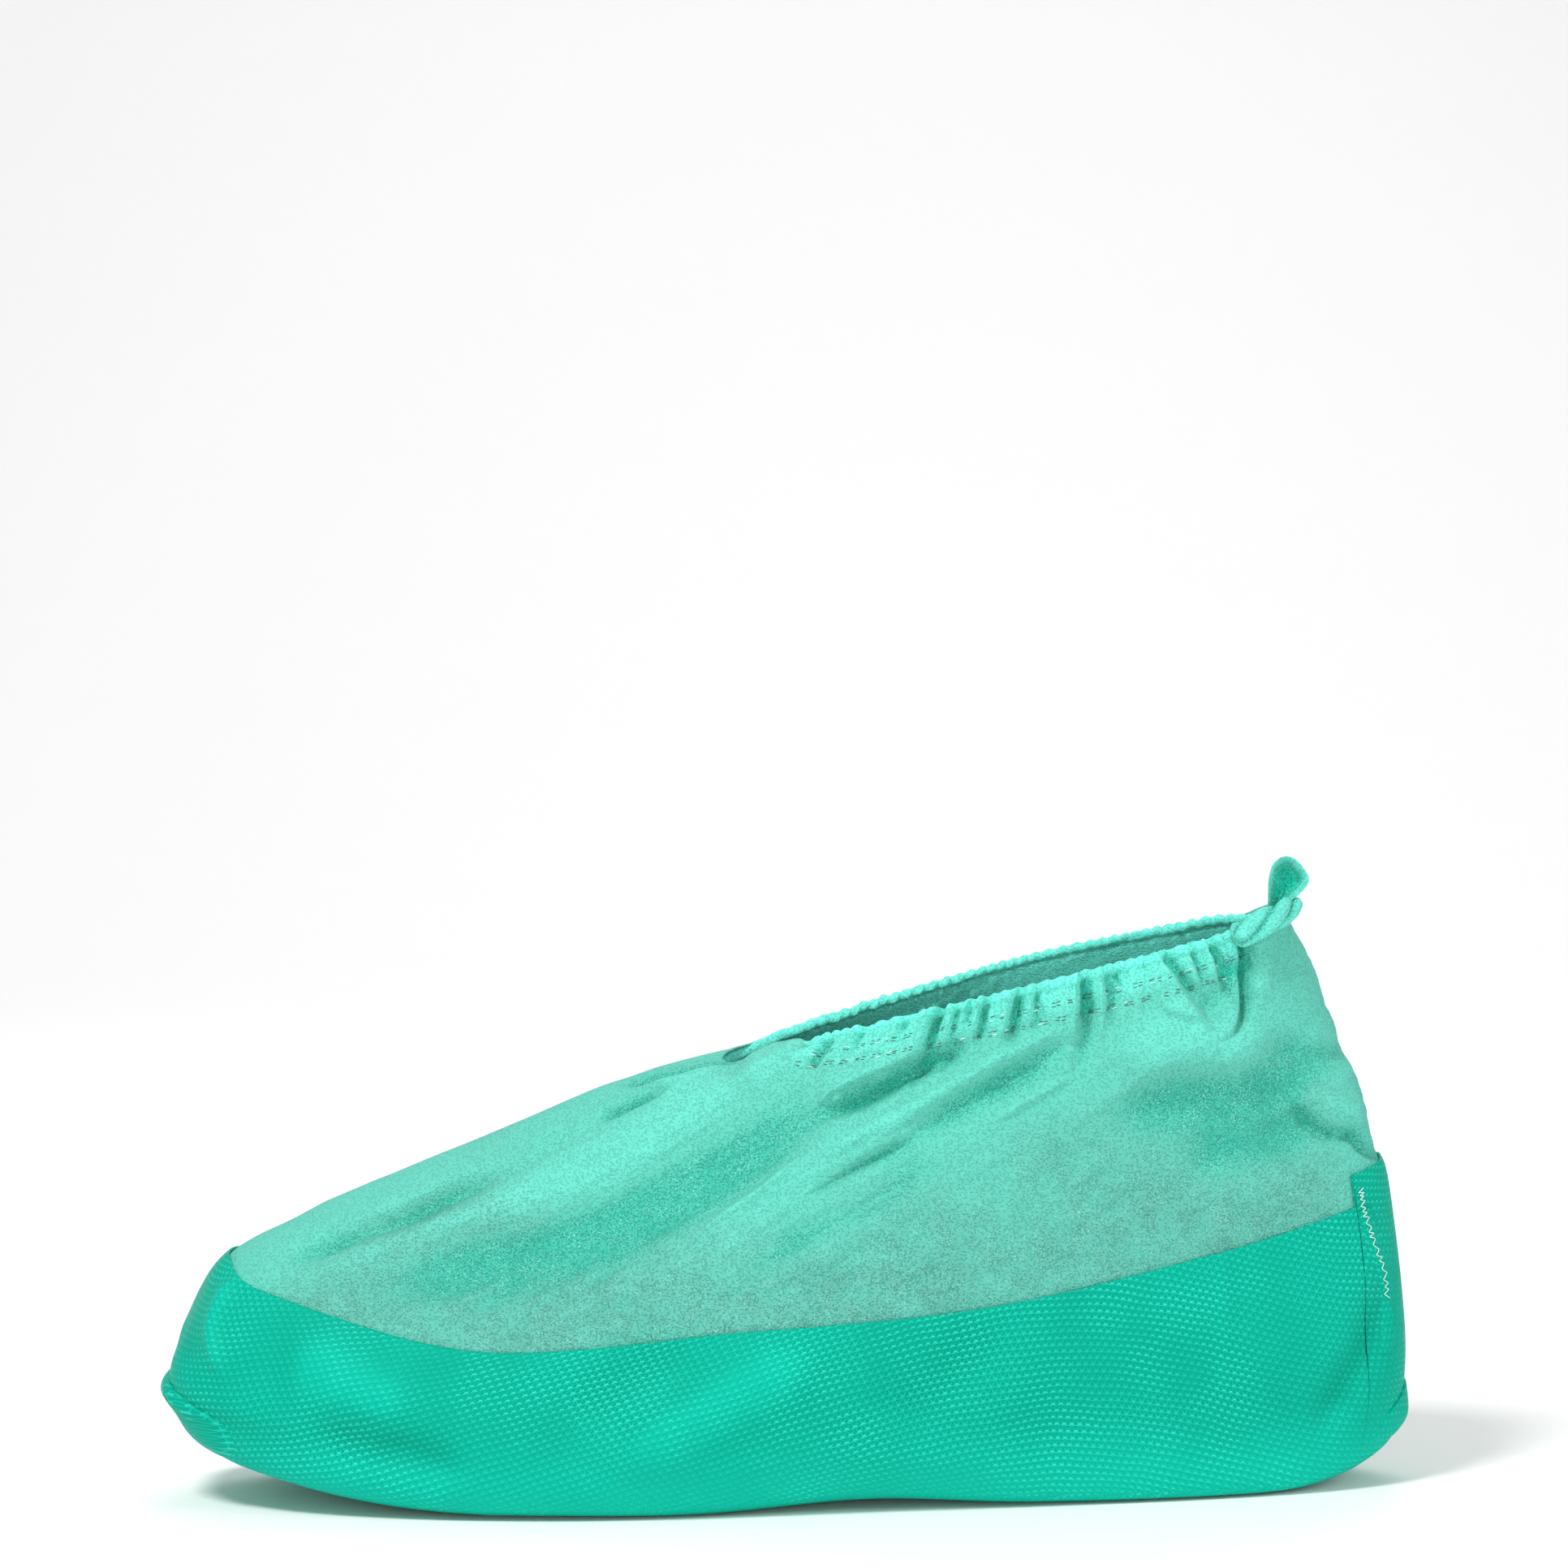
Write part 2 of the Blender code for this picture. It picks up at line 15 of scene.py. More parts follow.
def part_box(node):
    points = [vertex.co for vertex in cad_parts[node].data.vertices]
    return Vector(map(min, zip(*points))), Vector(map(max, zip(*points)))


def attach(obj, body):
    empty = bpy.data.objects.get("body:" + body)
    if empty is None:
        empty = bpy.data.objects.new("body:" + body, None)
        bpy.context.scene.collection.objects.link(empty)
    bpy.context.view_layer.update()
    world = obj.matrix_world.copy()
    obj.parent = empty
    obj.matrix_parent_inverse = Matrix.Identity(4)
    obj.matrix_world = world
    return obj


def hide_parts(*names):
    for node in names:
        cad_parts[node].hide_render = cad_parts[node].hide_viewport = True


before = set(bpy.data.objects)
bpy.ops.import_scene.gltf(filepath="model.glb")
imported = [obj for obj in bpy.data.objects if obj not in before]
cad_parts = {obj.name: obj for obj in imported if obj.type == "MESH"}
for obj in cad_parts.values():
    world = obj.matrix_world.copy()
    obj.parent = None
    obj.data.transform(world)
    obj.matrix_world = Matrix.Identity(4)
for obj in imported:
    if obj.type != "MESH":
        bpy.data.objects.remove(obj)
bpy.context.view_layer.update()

MM = 0.001

# A gentle wave: how far it swings, the length in which it turns by one radian, and its turn at the start
Sway = namedtuple("Sway", "swing length start")

# Driving dimensions, as in the part's source
LENGTH = 320.0
BALL_WIDTH = 115.0
HEEL_WIDTH = 82.0
INSTEP_HEIGHT = 112.5  # at the front of the collar
COLLAR_HEIGHT = 149.0  # at the back of the collar

# Walls and fits
FILM_WALL = 0.6
CLOTH_WALL = 0.6
GAP = 0.3
LAP = 0.55  # how far the upper reaches down inside the film, in section steps
HEM_WIDTH = 12.0
HEM_TOP = 3.0  # from the rim down to the upper's own edge
HEM_BEAD = 1.3  # from the rim down to the widest place of the hem's bead
CLOTH_OUTSIDE = -FILM_WALL - GAP  # place of the upper's outer face, from the outer form
CLOTH_MIDDLE = CLOTH_OUTSIDE - CLOTH_WALL / 2
SLOT_HALF = (CLOTH_WALL + GAP) / 2  # half the width of the hem's slot for the upper's edge

# The sole's underside
FLAT_FRONT = -0.244 * LENGTH
FLAT_BACK = 0.381 * LENGTH
TOE_SPRING = 12.0
SPRING_LENGTH = 0.22 * LENGTH
HEEL_LIFT = 7.0
LIFT_LENGTH = 0.1 * LENGTH
ARCH_RISE = 2.0
ARCH_FRONT = -0.088 * LENGTH
ARCH_BACK = 0.2 * LENGTH
SWING_FROM = 0.19 * LENGTH
TOE_SWING = 7.0  # the toe bends this far towards the inner side
WIDEST_LEVELS = (3.0, 3.5, 4.0)

# Stations along a section, as shares of its length
BALL_IN, BALL_OUT, WAIST, HEEL = 0.29, 0.36, 0.58, 0.85
HEIGHT_STATIONS = (0, 0.25, 0.42, 0.62, 0.85, 1)

# One row for each level outline of the shoe, from the tread to the rim, in percent of a driving dimension.
# front, back: x of its two ends, of the length. nose to waist_out: half widths, of the ball width.
# heel, tail: half widths, of the heel width. z_front to z_mid: heights, of the instep height.
# z_waist to z_back: heights, of the collar height. on_ground: share of the underside's own rise that is
# added. blunt: roundness of the front end, small is square.
Section = namedtuple(
    "Section",
    "name front back nose ball waist_in waist_out heel tail"
    " z_front z_ball z_mid z_waist z_heel z_back on_ground blunt",
)
SECTIONS = [
    Section("tread", -24.4, 38.1, 31.3, 36.5, 26.1, 28.7, 38.4, 36.6,
            0, 0, 0, 0, 0, 0, 1.0, 0.62),
    Section("forepart", -36.6, 44.1, 38.3, 41.7, 33, 35.7, 43.9, 41.5,
            0.3, 0.3, 0.4, 0.5, 0.2, 0.2, 1.0, 0.62),
    Section("feather", -45.9, 47.8, 43.5, 46.1, 37.8, 40, 48.2, 45.1,
            1.4, 2.3, 2.7, 2.4, 1.7, 1.3, 1.0, 0.62),
    Section("low wall", -48.6, 49.3, 46.1, 49.6, 43, 44.3, 50, 47.6,
            12, 10.7, 11.6, 9.4, 9.1, 6, 0.85, 0.64),
    Section("bulge", -49.4, 49.9, 46.1, 50, 43.9, 45.2, 50, 48.8,
            31.1, 22.2, 24.9, 20.8, 23.5, 25.5, 0, 0.66),
    Section("film edge", -45.9, 48.7, 40, 46.1, 42.2, 43.5, 49.4, 46.3,
            52.9, 37.9, 41.6, 34.1, 42.6, 50.7, 0, 0.75),
    Section("vamp", -39.1, 47.6, 33, 41.7, 40, 40.9, 48.8, 45.1,
            64.5, 47.6, 51.6, 42.6, 53.4, 59.7, 0, 0.85),
    Section("instep", -30.3, 46.4, 29.6, 37.4, 37.8, 38.7, 47.6, 43.9,
            75, 60.4, 64.9, 54, 64.4, 69.5, 0, 0.92),
    Section("tongue", -20.6, 44.8, 26.1, 33.9, 35.7, 36.5, 46.3, 42.7,
            86.2, 75.1, 80, 65.8, 75.2, 77.5, 0, 0.95),
    Section("throat", -11.2, 43.1, 23.5, 31.7, 33.9, 34.8, 44.5, 40.2,
            96.5, 90.7, 95.6, 77.9, 85.6, 87.9, 0, 0.95),
    Section("rim", -5, 40.5, 13.9, 27.8, 32.2, 32.2, 40.2, 36.6,
            100, 108.4, 114.2, 90.9, 96, 100, 0, 0.85),
]
WIDTHS = (BALL_WIDTH,) * 4 + (HEEL_WIDTH,) * 2
HEIGHTS = (INSTEP_HEIGHT,) * 3 + (COLLAR_HEIGHT,) * 3
PERCENT_OF = (LENGTH,) * 2 + WIDTHS + HEIGHTS
TAIL_BLUNT = 0.68
RIM = len(SECTIONS) - 1
FILM_EDGE = [row.name for row in SECTIONS].index("film edge")
FEATHER = [row.name for row in SECTIONS].index("feather")

# The film's outer half stands higher. It meets the inner half softly at the toe and with a step at the back
# seam. Angles run from the toe along the inner side to the heel.
FRONT_BLEND = (math.radians(4.0), math.radians(24.0))
BACK_SEAM = math.radians(159.0)
SEAM_HALF = math.radians(0.12)
OUTER_RISE = (0.2, 0.5)  # how much higher the film's outer half stands at toe and heel, in section steps

# Rows and columns of the fine meshes
UPPER_INNER_COLUMNS = 420
UPPER_OUTER_COLUMNS = 210
UPPER_ROWS = 116
FILM_COLUMNS = 600
FILM_ROWS = 76
HEM_COLUMNS = 1100
INNER_STEP = 4  # every fourth row is kept on the inside of a wall
UNDER_ROWS = 6  # of the film, under the sole
ROW_POWER = 0.88  # the upper's rows lie closer together towards the hem
ROUTE_POINTS = 18

# Creases in the side view: a route of (x, z) places, the half width and height of the fold. A fold is a soft
# ridge, or a trough where its height is negative. A lip stands up on the left of its route and falls at it.
# far: the share of its height that it has on the outer side, where it is shifted a little.
Crease = namedtuple("Crease", "name kind width height far route")
CREASES = [Crease(*row) for row in (
    ("upper long ridge", "fold", 8.0, 3.0, 0.8, ((8, 113), (-20, 97), (-51, 81), (-74, 74), (-98, 66))),
    ("main trough", "fold", 8.5, -4.3, 0.8,
     ((22, 104), (3, 98), (-14, 89), (-47, 72), (-84, 62), (-112, 54))),
    ("lower long ridge", "fold", 6.5, 1.2, 0.8,
     ((52, 113), (29, 98), (9, 87), (-9, 75), (-31, 62), (-56, 51))),
    ("crest of the lower ridge", "fold", 1.0, 1.3, 0.8, ((6, 92), (-7, 81), (-15, 76), (-25, 69))),
    ("thin trough beside the crest", "fold", 1.4, -1.8, 0.8, ((36, 96), (19, 88), (10, 83), (0, 76))),
    ("trough behind the lower ridge", "fold", 4.5, -1.2, 0.8,
     ((72, 114), (52, 107), (41, 101), (30, 92), (9, 83))),
    ("ridge from the hem", "fold", 2.4, 2.0, 0,
     ((76, 124), (56, 115), (44, 108), (29, 100), (8, 89))),
    ("hollow behind that ridge", "fold", 3.4, -1.8, 0,
     ((80, 120), (67, 115), (58, 110), (48, 105), (28, 95))),
    ("lip of that hollow", "fold", 1.3, 1.2, 0, ((72, 109), (60, 103), (50, 97))),
    ("small ridge in the middle", "fold", 4.0, 1.1, 0.8, ((30, 89), (15, 80), (-2, 72))),
    ("small trough in the middle", "fold", 4.5, -1.8, 0.8, ((44, 92), (26, 82), (6, 72), (-14, 60))),
    ("toe trough", "fold", 2.4, -3.0, 0.8,
     ((-66, 86), (-80, 81), (-97, 74), (-110, 69), (-122, 65), (-131, 60))),
    ("ridge over the toe trough", "fold", 3.0, 1.2, 0.8, ((-70, 89), (-88, 81), (-107, 73), (-124, 67))),
    ("ridge under the toe trough", "fold", 4.0, 1.5, 0.8, ((-74, 78), (-92, 71), (-107, 65), (-123, 59))),
    ("near panel under the puff", "lip", 1.0, 2.2, 0, ((-12, 113), (-21, 110), (-27, 108), (-40, 106))),
    ("crease under the puff", "fold", 1.4, -3.4, 0,
     ((-4, 116), (-20, 111.5), (-27, 109.5), (-50, 105))),
    ("small crease under the puff", "fold", 1.3, -2.6, 0,
     ((-50, 96), (-38, 102), (-27, 106))),
    ("roll of the near panel", "fold", 4.5, 1.8, 0, ((9, 115), (-2, 112), (-13, 109))),
    ("band over its shadow", "lip", 0.8, 3.4, 0, ((4, 100), (16, 107), (25, 111), (40, 118))),
    ("shadow under the band", "fold", 2.3, -5.2, 0,
     ((50, 119), (42, 115), (34, 112), (27, 108), (19, 104), (5, 99))),
    ("fold at the front of the hem", "fold", 1.3, -2.0, 0, ((13, 120), (10, 116), (5, 110))),
    ("swag behind the ankle", "lip", 1.0, 2.2, 0, ((91, 140), (94, 130), (97, 125), (108, 122))),
    ("deep slit by the roll", "fold", 1.2, -4.4, 0,
     ((118, 166), (117, 149), (118, 134), (118, 126), (115, 120), (108, 115))),
    ("pocket beside the slit", "fold", 3.5, -2.2, 0, ((116, 140), (112, 130), (105, 122))),
    ("flap behind the slit", "fold", 3.2, 1.6, 0, ((121, 148), (122, 136), (122, 124))),
    ("heel ridge", "fold", 8.0, 3.0, 0.8, ((80, 112), (99, 117), (114, 116), (128, 120))),
    ("heel trough", "fold", 8.0, -3.4, 0.8, ((78, 98), (105, 102), (126, 105), (146, 114))),
    ("lower heel trough", "fold", 6.0, -2.8, 0.8, ((98, 86), (111, 89), (130, 93), (140, 97))),
    ("crease round the back", "fold", 1.7, -3.4, 0.35,
     ((128, 104), (139, 92), (146, 91), (150, 87), (158, 82))),
    ("roll over the back crease", "fold", 3.2, 1.8, 0.35, ((132, 106), (143, 98), (152, 95))),
    ("notch under the roll", "fold", 3.0, -1.3, 0.35, ((122, 117), (140, 112), (150, 110))),
    ("faint fold line", "fold", 2.0, 0.5, 0.8, ((112, 92), (111, 68), (111, 40), (109, 8))),
    ("film streak", "fold", 8.0, 2.2, 0.8, ((14, 45), (-15, 30), (-31, 21), (-48, 11))),
    ("film hollow", "fold", 9.0, -2.0, 0.8, ((-18, 48), (-43, 36), (-60, 24))),
    ("film hollow under the arch", "fold", 9.0, -1.8, 0.8, ((58, 52), (43, 38), (20, 22))),
    ("film trough at the toe", "fold", 7.0, -2.6, 0.8, ((-126, 24), (-100, 18), (-76, 12))),
    ("film ridge at the toe", "fold", 9.0, 2.0, 0.8, ((-128, 46), (-106, 32), (-90, 26))),
    ("toe corner", "fold", 2.2, 1.8, 0.8, ((-137, 61), (-143, 54), (-146, 46), (-142, 32))),
    ("toe face", "fold", 4.0, -1.0, 0, ((-146, 62), (-151, 54), (-154, 44), (-150, 32))),
    ("heel facet", "fold", 4.5, -2.0, 0.8, ((134, 12), (138, 21), (149, 39), (154, 58))),
)]
FOLD_REACH = 2.6  # how far a fold and a lip are felt, in half widths
LIP_REACH = 16.0
LIP_SLOPE = 5.0
FADE_SHARE = 0.3  # of a route, in which its crease fades out at each end
END_WIDTH = 0.55  # how narrow a crease is there
NEAR_BLEND = (-6.0, 10.0)  # how far from the middle line one side's creases give way to the other's
FAR_SHIFT = (7.0, -3.0)
FAR_SWAY = Sway(5.0, 21.0, 0)
FLOOR_FADE = (2.5, 14.0)  # heights above the underside between which creases grow
WRINKLE_LEVELS = (FILM_EDGE + 0.35, FILM_EDGE + 1.0)
TOP_CALM = 0.7  # how much lower wrinkles, and creases of both sides, are along the top of the vamp
TOP_REACH = (4.0, 20.0)
TOP_END = (-15.0, 15.0)

# Fine wrinkles along the main folds
FOLD_SLOPE = math.radians(30)
WRINKLE_LONG = 42.0
WRINKLE_WIDE = 6.5
WRINKLE_HEIGHT = 1.0
CREST_SHARE = 0.7  # of the sharp crests among them
CREST_SCALE = (1.7, 2.3, 3.0)
CREST_SHIFT = (0.0, 0.0, 7.0)
CREST_TOP = 0.35
CREST_SLOPE = 1.6
CALM_FROM = (10.0, 60.0)  # behind this stretch the wrinkles are lower
CALM_BY = 0.55
HOLLOW_DEPTH = 3.2  # a trough this deep has the cloth's full painted shade, and a deeper one its deepest painted shade
FILM_HOLLOW = 2.4  # and this deep, the film's painted shade

# Gathers of the elastic hem, and its pleats on the inner side: the x of a sharp crest with a hollow behind
# it, its width and height, how far down it is felt and how much it leans back
GATHER_PITCH = 4.6
GATHER_HEIGHT = 0.55
GATHER_FALL = 12.0
GATHER_LEAN = 0.02
GATHER_SWAYS = (Sway(0.35, 11.3, 0), Sway(0.25, 4.7, 1))
FULL_SWAY = Sway(0.35, 17.0, 2)
FALL_SWAY = Sway(0.4, 7.9, 0)
FALL_POWER = 4
LOBE_POWER = 0.35  # small for broad crests with narrow hollows between
LOBE_FLOOR = 0.04
LOBE_DROP = 1.2
PLEAT_CREST = 0.8
PLEAT_HOLLOW = 1.7  # from the crest back to the middle of its hollow, in widths
Pleat = namedtuple("Pleat", "x width height fall lean")
PLEATS = [Pleat(*row) for row in (
    (19.5, 1.2, 1.9, 8, -0.1),
    (29.9, 1.2, 1.8, 8, 0),
    (37.6, 1.5, 3.6, 14, 0),
    (42.6, 1.2, 2.4, 10, 0.1),
    (46.4, 1.1, 1.8, 8, 0),
    (49.7, 1.2, 2.6, 10, 0.05),
    (57.4, 1.5, 3.4, 12, 0),
    (62.4, 1.1, 1.9, 9, 0.1),
    (73.5, 1.8, 4.2, 16, 0.05),
    (79.5, 1.4, 2.9, 11, 0.1),
    (82.7, 1.1, 1.8, 9, 0),
    (93.7, 1.6, 3.4, 16, 0.45),
    (101.4, 1.2, 2.4, 10, 0.1),
    (105.8, 1.5, 3.2, 11, 0.15),
)]

# At the front, and behind the slit by the roll, the cloth puffs over the hem: the stretches of the rim over
# which that begins and ends, from its front or middle, and how far the hem is tucked in
FRONT_TUCK_INNER = (26.0, 36.0)
FRONT_TUCK_OUTER = (-24.0, -4.0)
FRONT_CALM = (-55.0, -18.0)  # of the outer side, where gathers fade towards the front
REAR_TUCK_FROM = (149.5, 151.5)
REAR_TUCK_TO = (10.0, 36.0)
TUCK_IN = 2.4
TUCK_DROP = 2.0
HEM_CALM = 0.9  # how much lower gathers are there

# The hem's bead and its two rows of stitches
BEAD_RADIUS = 1.35
BEAD_PITCH = 3.3
BEAD_SCALLOP = 0.22
BEAD_SWAY = Sway(0.3, 6.1, 0)
BEAD_ARC = (-55, 235)  # degrees of its round, from the outer face over the top
BEAD_STEPS = 15
BEAD_WIDE = 1.05
BEAD_END = (1.6 * BEAD_RADIUS, 2.2 * BEAD_RADIUS)
BEAD_PALE = 0.8  # how little of the hollows' painted shade it has
FACE_TOP = 2 * BEAD_RADIUS + 0.5
FACE_STEPS = 15
FOOT_EDGE = 0.05  # least thickness of the outer face at its foot
SLOT_TOP = HEM_TOP - 0.1
SLOT_STEPS = 11
THIN_FROM = 0.6 * HEM_WIDTH  # below here the hem's outer face thins out
THIN_SHARE = 1.3
DRAWN_IN = 0.45  # how far the stitches draw the hem in under its bead, and where
DRAWN_AT = 2.6 * BEAD_RADIUS
DRAWN_REACH = 0.7 * BEAD_RADIUS
HEM_HOLLOW = 1.3  # a hollow this deep has the hem's full painted shade
HEM_HOLLOW_RANGE = (-1, 1.4)
HEM_DOUBLE = 0.6  # how much brighter its doubled cloth is
STITCH_ROWS = (6.5, 10.5)
STITCH_PITCH = 4.1
FLECKS = 4  # in two lines of two
FLECK_PITCH = 1.35
FLECK_GAP = 0.75
FLECK_RUN = 1.25
FLECK_SLANT = 0.12
FLECK_RADIUS = 0.14
FLECK_JITTER = 0.2
FLECK_SIDES = 6
FLECK_RINGS = ((-0.32, 0.8), (0.0, 1.0), (0.32, 0.8))  # place and fullness of each
FLECK_ASIDE = (0.3, 0.5, 0.81)  # a direction that no fleck follows
ROW_STEP = 0.4  # of the second row of dashes, in pitches
WHITE_EVERY = 7
STITCH_SEED = 11

# The back seam of the film: its raised lap, and the zigzag thread on it
LAP_WIDTH = 5.0
LAP_THICK = 0.5
LAP_SINK = 0.3
LAP_GRID = (60, 15)
LAP_FLAT = 6  # a high power for a flat top
LAP_PUCKER = 0.16
PUCKER_TURNS = (23, 9.1)
LAP_EDGE = 0.1  # how far its edges lie under the film
SeamPlace = namedtuple("SeamPlace", "level degrees")
SEAM_LINE = [SeamPlace(*row) for row in (
    (3.9, 165.0),
    (4.35, 166.5),
    (4.7, 163.0),
    (4.95, 161.2),
)]
ZIGZAG_LEVELS = (4.3, 5.2)
ZIGZAG_PITCH = 1.8
ZIGZAG_REACH = 0.75
ZIGZAG_POINTS = 12  # in a turn
ZIGZAG_ASIDE = 0.9
ZIGZAG_SLIP = Sway(0.012, 1 / 31, 0)
ZIGZAG_SWELL = Sway(0.35, 1 / 40, 0)
ZIGZAG_LIFT = Sway(0.1, 1 / 60, 0)
THREAD_RADIUS = 0.11
THREAD_SIDES = 8
THREAD_CLEAR = 0.05
THREAD_ASIDE = (0.2, 0.9, 0.3)  # a direction that the thread never follows

# Folded corners of film
Tuck = namedtuple("Tuck", "name node middle reach foot head thick lip")
TUCKS = [
    Tuck("toe_fold", "toe_tuck", 0.0, math.radians(25), 1.75, 3.75, 3.4, 0.86),
    Tuck("heel_fold", "heel_tuck", math.pi, math.radians(17), 2.5, 3.5, 2.3, 0.6),
]
TUCK_SINK = 0.25  # how far a fold's border lies under the film, so that it grows out of it
TUCK_GRID = (40, 65)
TUCK_NARROW = 0.7  # how much lower a fold is at its points
TUCK_POINT = 1.5
TUCK_MIDDLE = 0.45  # height of its points, as a share
TUCK_FALL = 0.75  # how far it falls above its lip
TUCK_ROUND = 0.8
TUCK_CRUMPLES = (Sway(0.35, 1 / 7, 0), Sway(1.0, 1 / 9, 1))  # up and across

# The roll and the loop of spare hem
ROLL_START = math.radians(139.5)
ROLL_END = math.radians(168)
ROLL_STATIONS = (0, 0.3, 0.7, 1)
ROLL_RADII = (2.9, 3.2, 2.8, 2.2)
ROLL_LOBES = 3
ROLL_LOBE = 0.4
ROLL_TURNS = 2.4
ROLL_TILT = (math.radians(5), math.radians(40))
ROLL_GRID = (120, 60)
ROLL_BEAD = 1.3  # radius of the bead that it lies beside
ROLL_STRAND = 0.7  # small for broad strands with narrow grooves between
STRAND_HEIGHT = 3.4  # of a strand over its groove, in lobes
GROOVE_DEPTH = 2.2  # of a groove under the roll's radius, in lobes
ROLL_CRUMPLE = 0.12
ROLL_CRUMPLES = (9, 10, 70)  # around, with the twist and along
ROLL_ROUND = 0.12  # share of each half in which its end is rounded
ROLL_CAP = 0.97
GROOVE_SHADE = 1.2  # how much painted shade a groove has
STRAND_LIGHT = 1.5  # how much of that a strand takes away, which gives its top painted light
ROLL_DOUBLE = 0.5
LOOP_PLACE = 0.87
LOOP_SINK = 1.1  # the loop grows out of the roll
LOOP_CUP = 3.6
LOOP_WALL = 0.9
LOOP_GRID = (24, 72)
LOOP_MIDDLE = (-0.8, 4.5)
LOOP_START = 0.04  # share of the way out at which its rings begin
LOOP_RIM = 0.2  # share of the way out that its rim takes up, to both sides
LOOP_WAVE = 0.3
LOOP_SHADE = 2.2
LOOP_HOLLOW_RANGE = (-0.4, 1.7)
LOOP_BACK = 0.3  # share of the painted shade on its back
LOOP_DOUBLE = 0.4
LoopEdge = namedtuple("LoopEdge", "x z rim")
LOOP_EDGES = [LoopEdge(*row) for row in (
    (-5.6, -4.0, 0.5),
    (-5.7, 1.5, 0.5),
    (-5.5, 6.0, 0.5),
    (-4.3, 9.8, 0.6),
    (-1.8, 11.6, 0.6),
    (0.8, 11.2, 0.7),
    (3.0, 9.2, 0.9),
    (4.6, 6.4, 1.2),
    (4.2, 4.2, 1.4),
    (2.0, 1.8, 1.5),
    (-0.8, -0.6, 1.5),
    (-3.4, -3.2, 1.1),
)]

# Colours, linear
FILM_GREEN = (0.001, 0.34, 0.231, 1)
# painted shade for the film's hollows and the lower sides of its emboss domes
FILM_DARK = (0.0005, 0.265, 0.175, 1)
# painted light for the film's ridges and low part
FILM_LIT = (0.003, 0.50, 0.365, 1)
# painted highlight along the emboss lines
FILM_NET_HIGHLIGHT = (0.012, 0.59, 0.445, 1)
FILM_GLINT = (0.05, 0.82, 0.66, 1)
MINT = (0.115, 0.565, 0.452, 1)
# painted light for the cloth's ridges
LIT_RIDGE_MINT = (0.145, 0.71, 0.575, 1)
# painted shade for the cloth's troughs
TROUGH_SHADE_TEAL = (0.010, 0.40, 0.288, 1)
# deeper painted shade for the cloth's deepest hollows
DEEPEST_SHADE_TEAL = (0.001, 0.52, 0.38, 1)
GREY_MINT = (0.10, 0.37, 0.298, 1)
PALE_FIBRE = (0.32, 0.80, 0.69, 1)
DEEP_FIBRE = (0.015, 0.27, 0.21, 1)
HEM_MINT = (0.165, 0.9, 0.76, 1)
THREAD_GREY = (0.07, 0.14, 0.135, 1)
THREAD_WHITE = (0.72, 0.90, 0.87, 1)
FLOOR_WHITE = (0.92, 0.92, 0.92, 1)

PIT_PITCH = 0.52  # of the open places between the cloth's bonded fibres
PIT_STRETCH = (0.72, 0.72, 1.0)  # they are wider than high
PIT_UNEVEN = 0.55  # how far their outlines wander
PIT_EDGE = (0.5 + PIT_UNEVEN / 2, 0.24 + PIT_UNEVEN / 2)
PIT_DEPTH = 0.5
FIBRE_SIZE = 0.4
CLOTH_BUMP = 0.25
TWIST_SIZE = 0.35
TWIST_BUMP = 0.05
TWIST_DARK = 0.6
CLOTH_GLOSS = {"Specular_IOR_Level": 0.15, "Sheen_Weight": 0.05}

# Sizes of patches in millimetres, and ramps: the range of a value, and what it becomes at the two ends
MOTTLE_SIZE = 7
GREY_SIZE = 6
MOTTLE = (0.38, 0.62)
OPEN_LOW = (0.0, 0.7)
OPEN_MOTTLE = (0.36, 0.18)  # share of open cloth in hollows, by its mottle and at least
OPEN_LEAST = 0.12
FIBRE_SHOWS = (0.5, 0.66)
CLOTH_TROUGH_SHADE = (-0.1, 1.0, 0.0, 0.72)
CLOTH_RIDGE_LIGHT = (-0.1, -0.8, 0.0, 0.6)
CLOTH_DEEPEST_SHADE = (1.1, 1.7)
PITS_SHOW = (0.0, 1.0, 0.28, 0.6)
GREY_MOTTLE = (0.35, 0.65, 0.55, 1.0)
TWIST_SHADE = (0.35, 0.65, 0.0, 0.5)
DRIFT_SIZE = 18
LINE_SIZE = 30
GLINT_SIZE = 24
CLOUD_SIZE = 40
GLOSS_SIZE = 9
LINE_HIGHLIGHTS_SHOW = (0.38, 0.62, 0.25, 0.55)
GLINTS_SHOW = (0.42, 0.64, 0.12, 0.6)
CLOUDS = (0.4, 0.7, 0.0, 0.25)
FILM_HOLLOW_SHADE = (0.1, 1.0, 0.0, 0.7)
FILM_RIDGE_LIGHT = (-0.1, -0.9, 0.0, 0.5)
FILM_ROUGH = (0.3, 0.7, 0.4, 0.52)

# Where the cloth is greyer: on the sides, from the film up by some section steps, further at the rear
GREY_SIDE = (0.25, 0.6)
GREY_FROM = 0.4
GREY_REACH = 3.5
GREY_REAR = (30.0, 110.0)
GREY_PATCH = (30.0, 30.0, 18.0)
GREY_UNEVEN = 0.5
GREY_LESS = 0.05

# The film's emboss, a net of fine ridges in three directions
EMBOSS_WAVE = 1.73
EMBOSS_TURNS = (0, 60, 120)
EMBOSS_DRIFT = 2.4  # how far the net wanders
EMBOSS_BUMP = 0.1
BROAD_RIDGES = 2.0  # powers
FINE_RIDGES = 9.0
LINE_EDGE = (0.4, 1.1)
DOME_EDGE = (1.0, 1.35)
DOME_SHADE = 0.4
FILM_GLOW = (26.0 * MM, 2.0 * MM, 0.0, 0.8)  # by height: the floor's light brightens the low film
GLINT_STEP = 0.3  # thickness of a crescent

